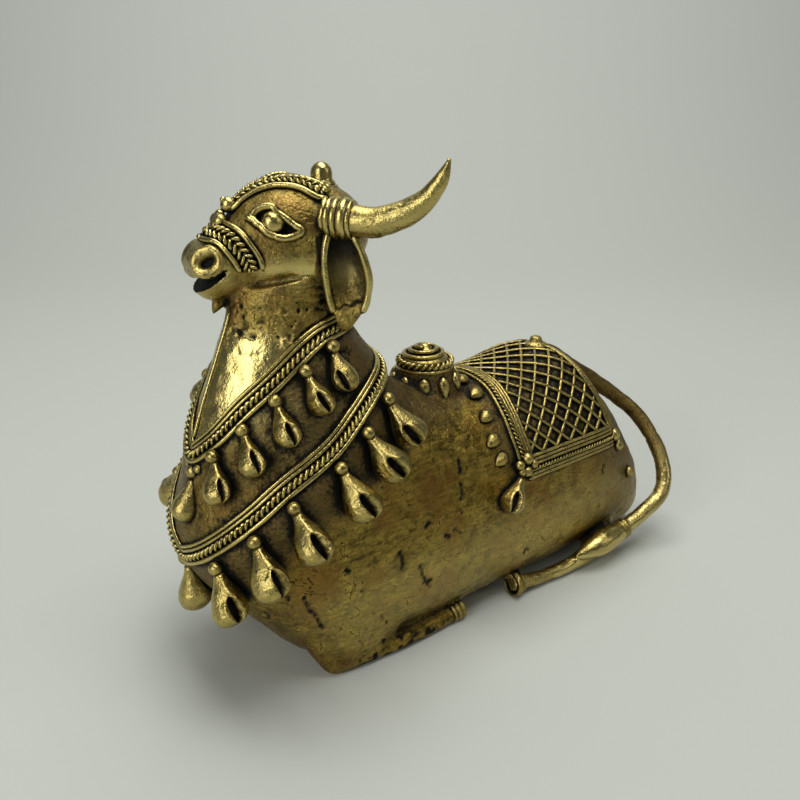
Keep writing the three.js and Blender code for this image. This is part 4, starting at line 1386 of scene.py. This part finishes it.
    def ear(self, side):
        """Cupped ear, closed, from an inner and an outer skin."""
        facing = unit(np.array([EAR_FACING[0], side * EAR_FACING[1], 0.0]))
        wide = np.array([-facing[1], facing[0], 0.0]) * side
        rings = []
        for x, y, z, half, cup in along(mirrored(EAR, side), 44):
            middle, span = np.array([x, y, z]), np.linspace(-0.97, 0.97, 17)
            inner = [(s, 0.45 - cup * (1 - s * s) ** 0.8) for s in span]
            outer = [(s, -0.75 - (cup + 0.5) * (1 - s * s) ** 0.7) for s in span[::-1]]
            rings.append([middle + wide * s * half + facing * depth for s, depth in inner + outer])
        return skin(rings)


class NANDI_OT_head_ornaments(bpy.types.Operator):
    """Lays the noseband, eye rims, crown and its knob, brow beads, horn cuffs and ear rims"""

    bl_idname = "nandi.head_ornaments"
    bl_label = "Head ornaments"

    def execute(self, context):
        sizes = context.scene.nandi_sizes
        if "head" not in FORMS:
            raise RuntimeError("model the head before its ornaments")
        skull = FORMS["head"]
        thread, cord = sizes.thread / 2, sizes.cord / 2
        forms = []
        for side in (-1, 1):
            front = draped(skull, NOSE_FRONT, side)
            rear = draped(skull, NOSE_REAR, side)
            forms.append(wire(front, thread * 1.05, 0.9))
            forms.append(wire(rear, thread * 1.1, 0.9))
            for share, hand in ((0.36, 1), (0.66, -1)):
                rows = along(NOSE_FRONT, 9) * (1 - share) + along(NOSE_REAR, 9) * share
                forms.append(rope(draped(skull, rows, side), cord * 1.18, 3.0, hand * side, 0.6))
            forms.append(wire(draped(skull, CROWN + CROWN_END, side), thread * 1.25, 0.8))
            arch = draped(skull, CROWN, side)
            inward = 1 if np.dot(axes(arch)[0][10], [0, side, 0]) < 0 else -1
            for offset, hand in ((1.5, 1), (3.1, -1), (4.5, 0), (5.6, 0)):
                line = beside(skull, arch, inward * offset)
                line = line[side * line[:, 1] > 0.2]
                if len(line) < 6:
                    continue
                if hand:
                    forms.append(rope(line, cord * 1.06, 3.0, hand * side, 0.9))
                else:
                    forms.append(wire(line, thread * 0.95, 0.9))
            rim = draped(skull, EYE_RIM, side, loop=True, step=0.4, ease=1)
            forms.append(wire(rim, 0.9, 0.6, loop=True, sides=10))
            for x, y, z in (EYE_RIM[0], EYE_RIM[5]):
                forms.append(bead_on(skull.near((x, side * y, z)), 0.35, 0.95, 0.8, 14))
            x, y, z = EYE_BALL
            forms.append(bead_on(skull.near((x, side * y, z)), 0.25, 2.9, 0.85, 28))
            root, bend = mirrored(HORN, side)[1:3, :3]
            swell = 1.1
            forms.append(turned_form(root, bend - root, [(t, swell * r) for t, r in HORN_CUFF], 36))
            flower = skull.cast((-43.4, side * 8.0, 160), (0, 0, -1))
            for u, v in FLOWER:
                lift, radius = (1.1, 0.95) if u else (1.5, 1.15)
                at = flower[:3] + [u, v * 0.8 * side, -0.25 * v] + flower[3:] * lift
                forms.append(round_bead(at, radius, flower[3:]))
            facing = unit(np.array([EAR_FACING[0], side * EAR_FACING[1], 0.0]))
            wide = np.array([-facing[1], facing[0], 0.0])
            for s in (-1, 1):
                rows = along(mirrored(EAR, side), 60)[1:46]
                edge = [[*(row[:3] + wide * s * row[3] * 0.97 - facing * 0.1), *facing] for row in rows]
                forms.append(wire(np.array(edge), 0.95, 0.0, wobble=0.14))
        forms.append(turned_form(np.array([CREST_X, 0, 0]), (0, 0, 1), CREST_KNOB, 28))
        out = circle(60)
        collar = np.column_stack([[CREST_X, 0, 129.2] + out * 3.5, unit(out + [0, 0, 0.4])])
        forms.append(wire(collar, 0.6, 0.2, loop=True))
        forms.append(round_bead((-63.9, 0, 126.2), 2.0, (-0.6, 0, 0.8), 0.9, 20))
        forms.append(round_bead((-65.1, 0, 127.5), 0.75, (-0.6, 0, 0.8), 0.9, 12))
        for y, z, radius in BROW_BEADS:
            forms.append(round_bead((-66.7 - 0.4 * (122.8 - z), y, z), radius, (-0.8, 0, 0.6)))
        teeth = 8
        for k in range(teeth):
            y = (k - 3.5) * 1.4
            root = np.array([-72.3 + 0.13 * y * y, y, 110.6 + 0.03 * y * y])
            forms.append(turned_form(root, (0.1, 0, -1), TOOTH, 8))
        verts, faces = joined(forms)
        make_piece("head_ornaments", (turn_head(verts), faces), brass("trim"), polish_and_sheen=0.75)
        return {"FINISHED"}


class NANDI_OT_hooves(bpy.types.Operator):
    """Turns the rings at the ends of the folded legs, hollow at the hoof, and the ring of the tail tuft"""

    bl_idname = "nandi.hooves"
    bl_label = "Hooves"

    def execute(self, context):
        forms, dark = [], []
        for side in (-1, 1):
            for leg, profile in ((FORELEG, FORE_HOOF), (HIND_LEG, HIND_HOOF)):
                rows = mirrored(leg, side)
                end, before = rows[-1][:3], rows[-2][:3]
                forms.append(turned_form(end, end - before, profile, 36))
                # the hoof's hollow is darkened as painted shade
                dark += [0.0] * (36 * (len(profile) - 3)) + [1.0] * (36 * 3)
        end, before = np.array(TAIL[-1][:3]), np.array(TAIL[-2][:3])
        forms.append(turned_form(end + unit(before - end) * 0.6, end - before, TUFT_RING, 30))
        dark += [0.0] * (30 * len(TUFT_RING))
        make_piece("hoof_rings", forms, brass("trim"), polish_and_sheen=0.3, pits_and_shade=np.array(dark))
        return {"FINISHED"}


class NANDI_OT_patina(bpy.types.Operator):
    """Works out how closed in each point of the casting is, which is where the dark patina stays"""

    bl_idname = "nandi.patina"
    bl_label = "Patina"

    def execute(self, context):
        if not PIECES:
            raise RuntimeError("make the pieces before their patina")
        read = {}
        points, faces, start = [], [], 0
        for name, piece in PIECES.items():
            mesh = piece.data
            place = np.empty(len(mesh.vertices) * 3)
            mesh.vertices.foreach_get("co", place)
            normal = np.empty(len(mesh.vertices) * 3)
            mesh.vertices.foreach_get("normal", normal)
            place = place.reshape(-1, 3) * 1000
            read[name] = (place, normal.reshape(-1, 3))
            points.append(place)
            faces += [[v + start for v in face.vertices] for face in mesh.polygons]
            start += len(place)
        tree = BVHTree.FromPolygons(np.vstack(points).tolist(), faces)
        # rays spread evenly over most of a half sphere, by the golden angle
        count = 12
        k = np.arange(count) + 0.5
        lean, spin = np.arccos(1 - k / count * 0.92), k * 2.39996
        fan = np.column_stack([np.sin(lean) * np.cos(spin), np.sin(lean) * np.sin(spin), np.cos(lean)])
        for name, (place, normal) in read.items():
            side = unit(np.cross(normal, [0.21, 0.53, 0.82]))
            other = np.cross(normal, side)
            shut = np.zeros(len(place))
            origins = (place + normal * 0.08).tolist()
            for a, b, c in fan:
                ways = (side * a + other * b + normal * c).tolist()
                for i, (origin, way) in enumerate(zip(origins, ways)):
                    gap = tree.ray_cast(origin, way, SHUT_REACH)[3]
                    if gap is not None:
                        shut[i] += 1 - gap / SHUT_REACH
            hollow = np.clip(shut / count * 1.35, 0, 1)
            layer = PIECES[name].data.attributes.new("hollow", "FLOAT", "POINT")
            layer.data.foreach_set("value", hollow)
        return {"FINISHED"}


class NANDI_OT_stage(bpy.types.Operator):
    """Sets up the paper sweep, the soft lights and the camera"""

    bl_idname = "nandi.stage"
    bl_label = "Stage"

    def execute(self, context):
        bend, radius, half = SWEEP["bend"], SWEEP["radius"], SWEEP["half"]
        profile = [(SWEEP["front"], 0.0), (bend, 0.0)]
        for a in np.radians(np.linspace(6, 84, 14)):
            profile.append((bend + radius * math.sin(a), radius - radius * math.cos(a)))
        profile += [(bend + radius, radius), (bend + radius, SWEEP["top"])]
        turn = Matrix.Rotation(CAMERA_TURN, 4, "Z")
        verts, faces = [], []
        for i, (d, z) in enumerate(profile):
            verts += [turn @ Vector((-half, d, z)), turn @ Vector((half, d, z))]
            if i:
                faces.append((2 * i - 2, 2 * i - 1, 2 * i + 1, 2 * i))
        mesh = bpy.data.meshes.new("paper_sweep")
        mesh.from_pydata(verts, [], faces)
        mesh.shade_smooth()
        mesh.materials.append(matt_paper("matt_paper_sweep", context.scene.nandi_colours))
        sweep = bpy.data.objects.new("paper_sweep", mesh)
        context.scene.collection.objects.link(sweep)

        world = bpy.data.worlds.new("studio")
        context.scene.world = world
        world.use_nodes = True
        background = world.node_tree.nodes["Background"]
        background.inputs["Color"].default_value = linear("#C9CCCC")
        background.inputs["Strength"].default_value = 0.2
        for name, place, size, watts, tint, aim in LAMPS:
            lamp = bpy.data.lights.new(name, "AREA")
            lamp.shape = "RECTANGLE"
            lamp.size, lamp.size_y = size
            lamp.energy = watts
            lamp.color = linear(tint)[:3]
            light = bpy.data.objects.new(name, lamp)
            light.location = place
            light.rotation_euler = (Vector(aim) - Vector(place)).to_track_quat("-Z", "Y").to_euler()
            context.scene.collection.objects.link(light)

        level = math.cos(CAMERA_RISE)
        back = Vector((math.sin(CAMERA_TURN) * level, -math.cos(CAMERA_TURN) * level, math.sin(CAMERA_RISE)))
        data = bpy.data.cameras.new("camera")
        data.lens, data.sensor_width, data.sensor_fit = 36, 36, "HORIZONTAL"
        data.clip_start, data.clip_end = 0.01, 20
        camera = bpy.data.objects.new("camera", data)
        camera.rotation_mode = "QUATERNION"
        camera.rotation_quaternion = (-back).to_track_quat("-Z", "Y")
        camera.location = (CAMERA_AT + SHIFT) * 0.001
        context.scene.collection.objects.link(camera)
        context.scene.camera = camera
        context.scene.view_settings.view_transform = "Standard"
        return {"FINISHED"}


class NANDI_PT_panel(bpy.types.Panel):
    """Lists the figure's pieces, sizes and colours"""

    bl_idname = "NANDI_PT_panel"
    bl_label = "Nandi bull"
    bl_space_type = "VIEW_3D"
    bl_region_type = "UI"
    bl_category = "Nandi"

    def draw(self, context):
        for step in STEPS:
            self.layout.operator(step.bl_idname)
        for group in (context.scene.nandi_sizes, context.scene.nandi_colours):
            for name in group.__annotations__:
                self.layout.prop(group, name)


STEPS = (
    NANDI_OT_stage,
    NANDI_OT_body,
    NANDI_OT_necklaces,
    NANDI_OT_bells,
    NANDI_OT_saddle_cloth,
    NANDI_OT_hump_cap,
    NANDI_OT_head,
    NANDI_OT_head_ornaments,
    NANDI_OT_hooves,
    NANDI_OT_patina,
)
CLASSES = (NandiColours, NandiSizes, *STEPS, NANDI_PT_panel)


def register():
    for cls in CLASSES:
        bpy.utils.register_class(cls)
    bpy.types.Scene.nandi_sizes = bpy.props.PointerProperty(type=NandiSizes)
    bpy.types.Scene.nandi_colours = bpy.props.PointerProperty(type=NandiColours)


def unregister():
    del bpy.types.Scene.nandi_sizes
    del bpy.types.Scene.nandi_colours
    for cls in reversed(CLASSES):
        bpy.utils.unregister_class(cls)


def main():
    register()
    bpy.ops.nandi.stage()
    bpy.ops.nandi.body()
    bpy.ops.nandi.necklaces()
    bpy.ops.nandi.bells()
    bpy.ops.nandi.saddle_cloth()
    bpy.ops.nandi.hump_cap()
    bpy.ops.nandi.head()
    bpy.ops.nandi.head_ornaments()
    bpy.ops.nandi.hooves()
    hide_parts("nandi_bull")
    bpy.ops.nandi.patina()


if __name__ == "__main__":
    main()
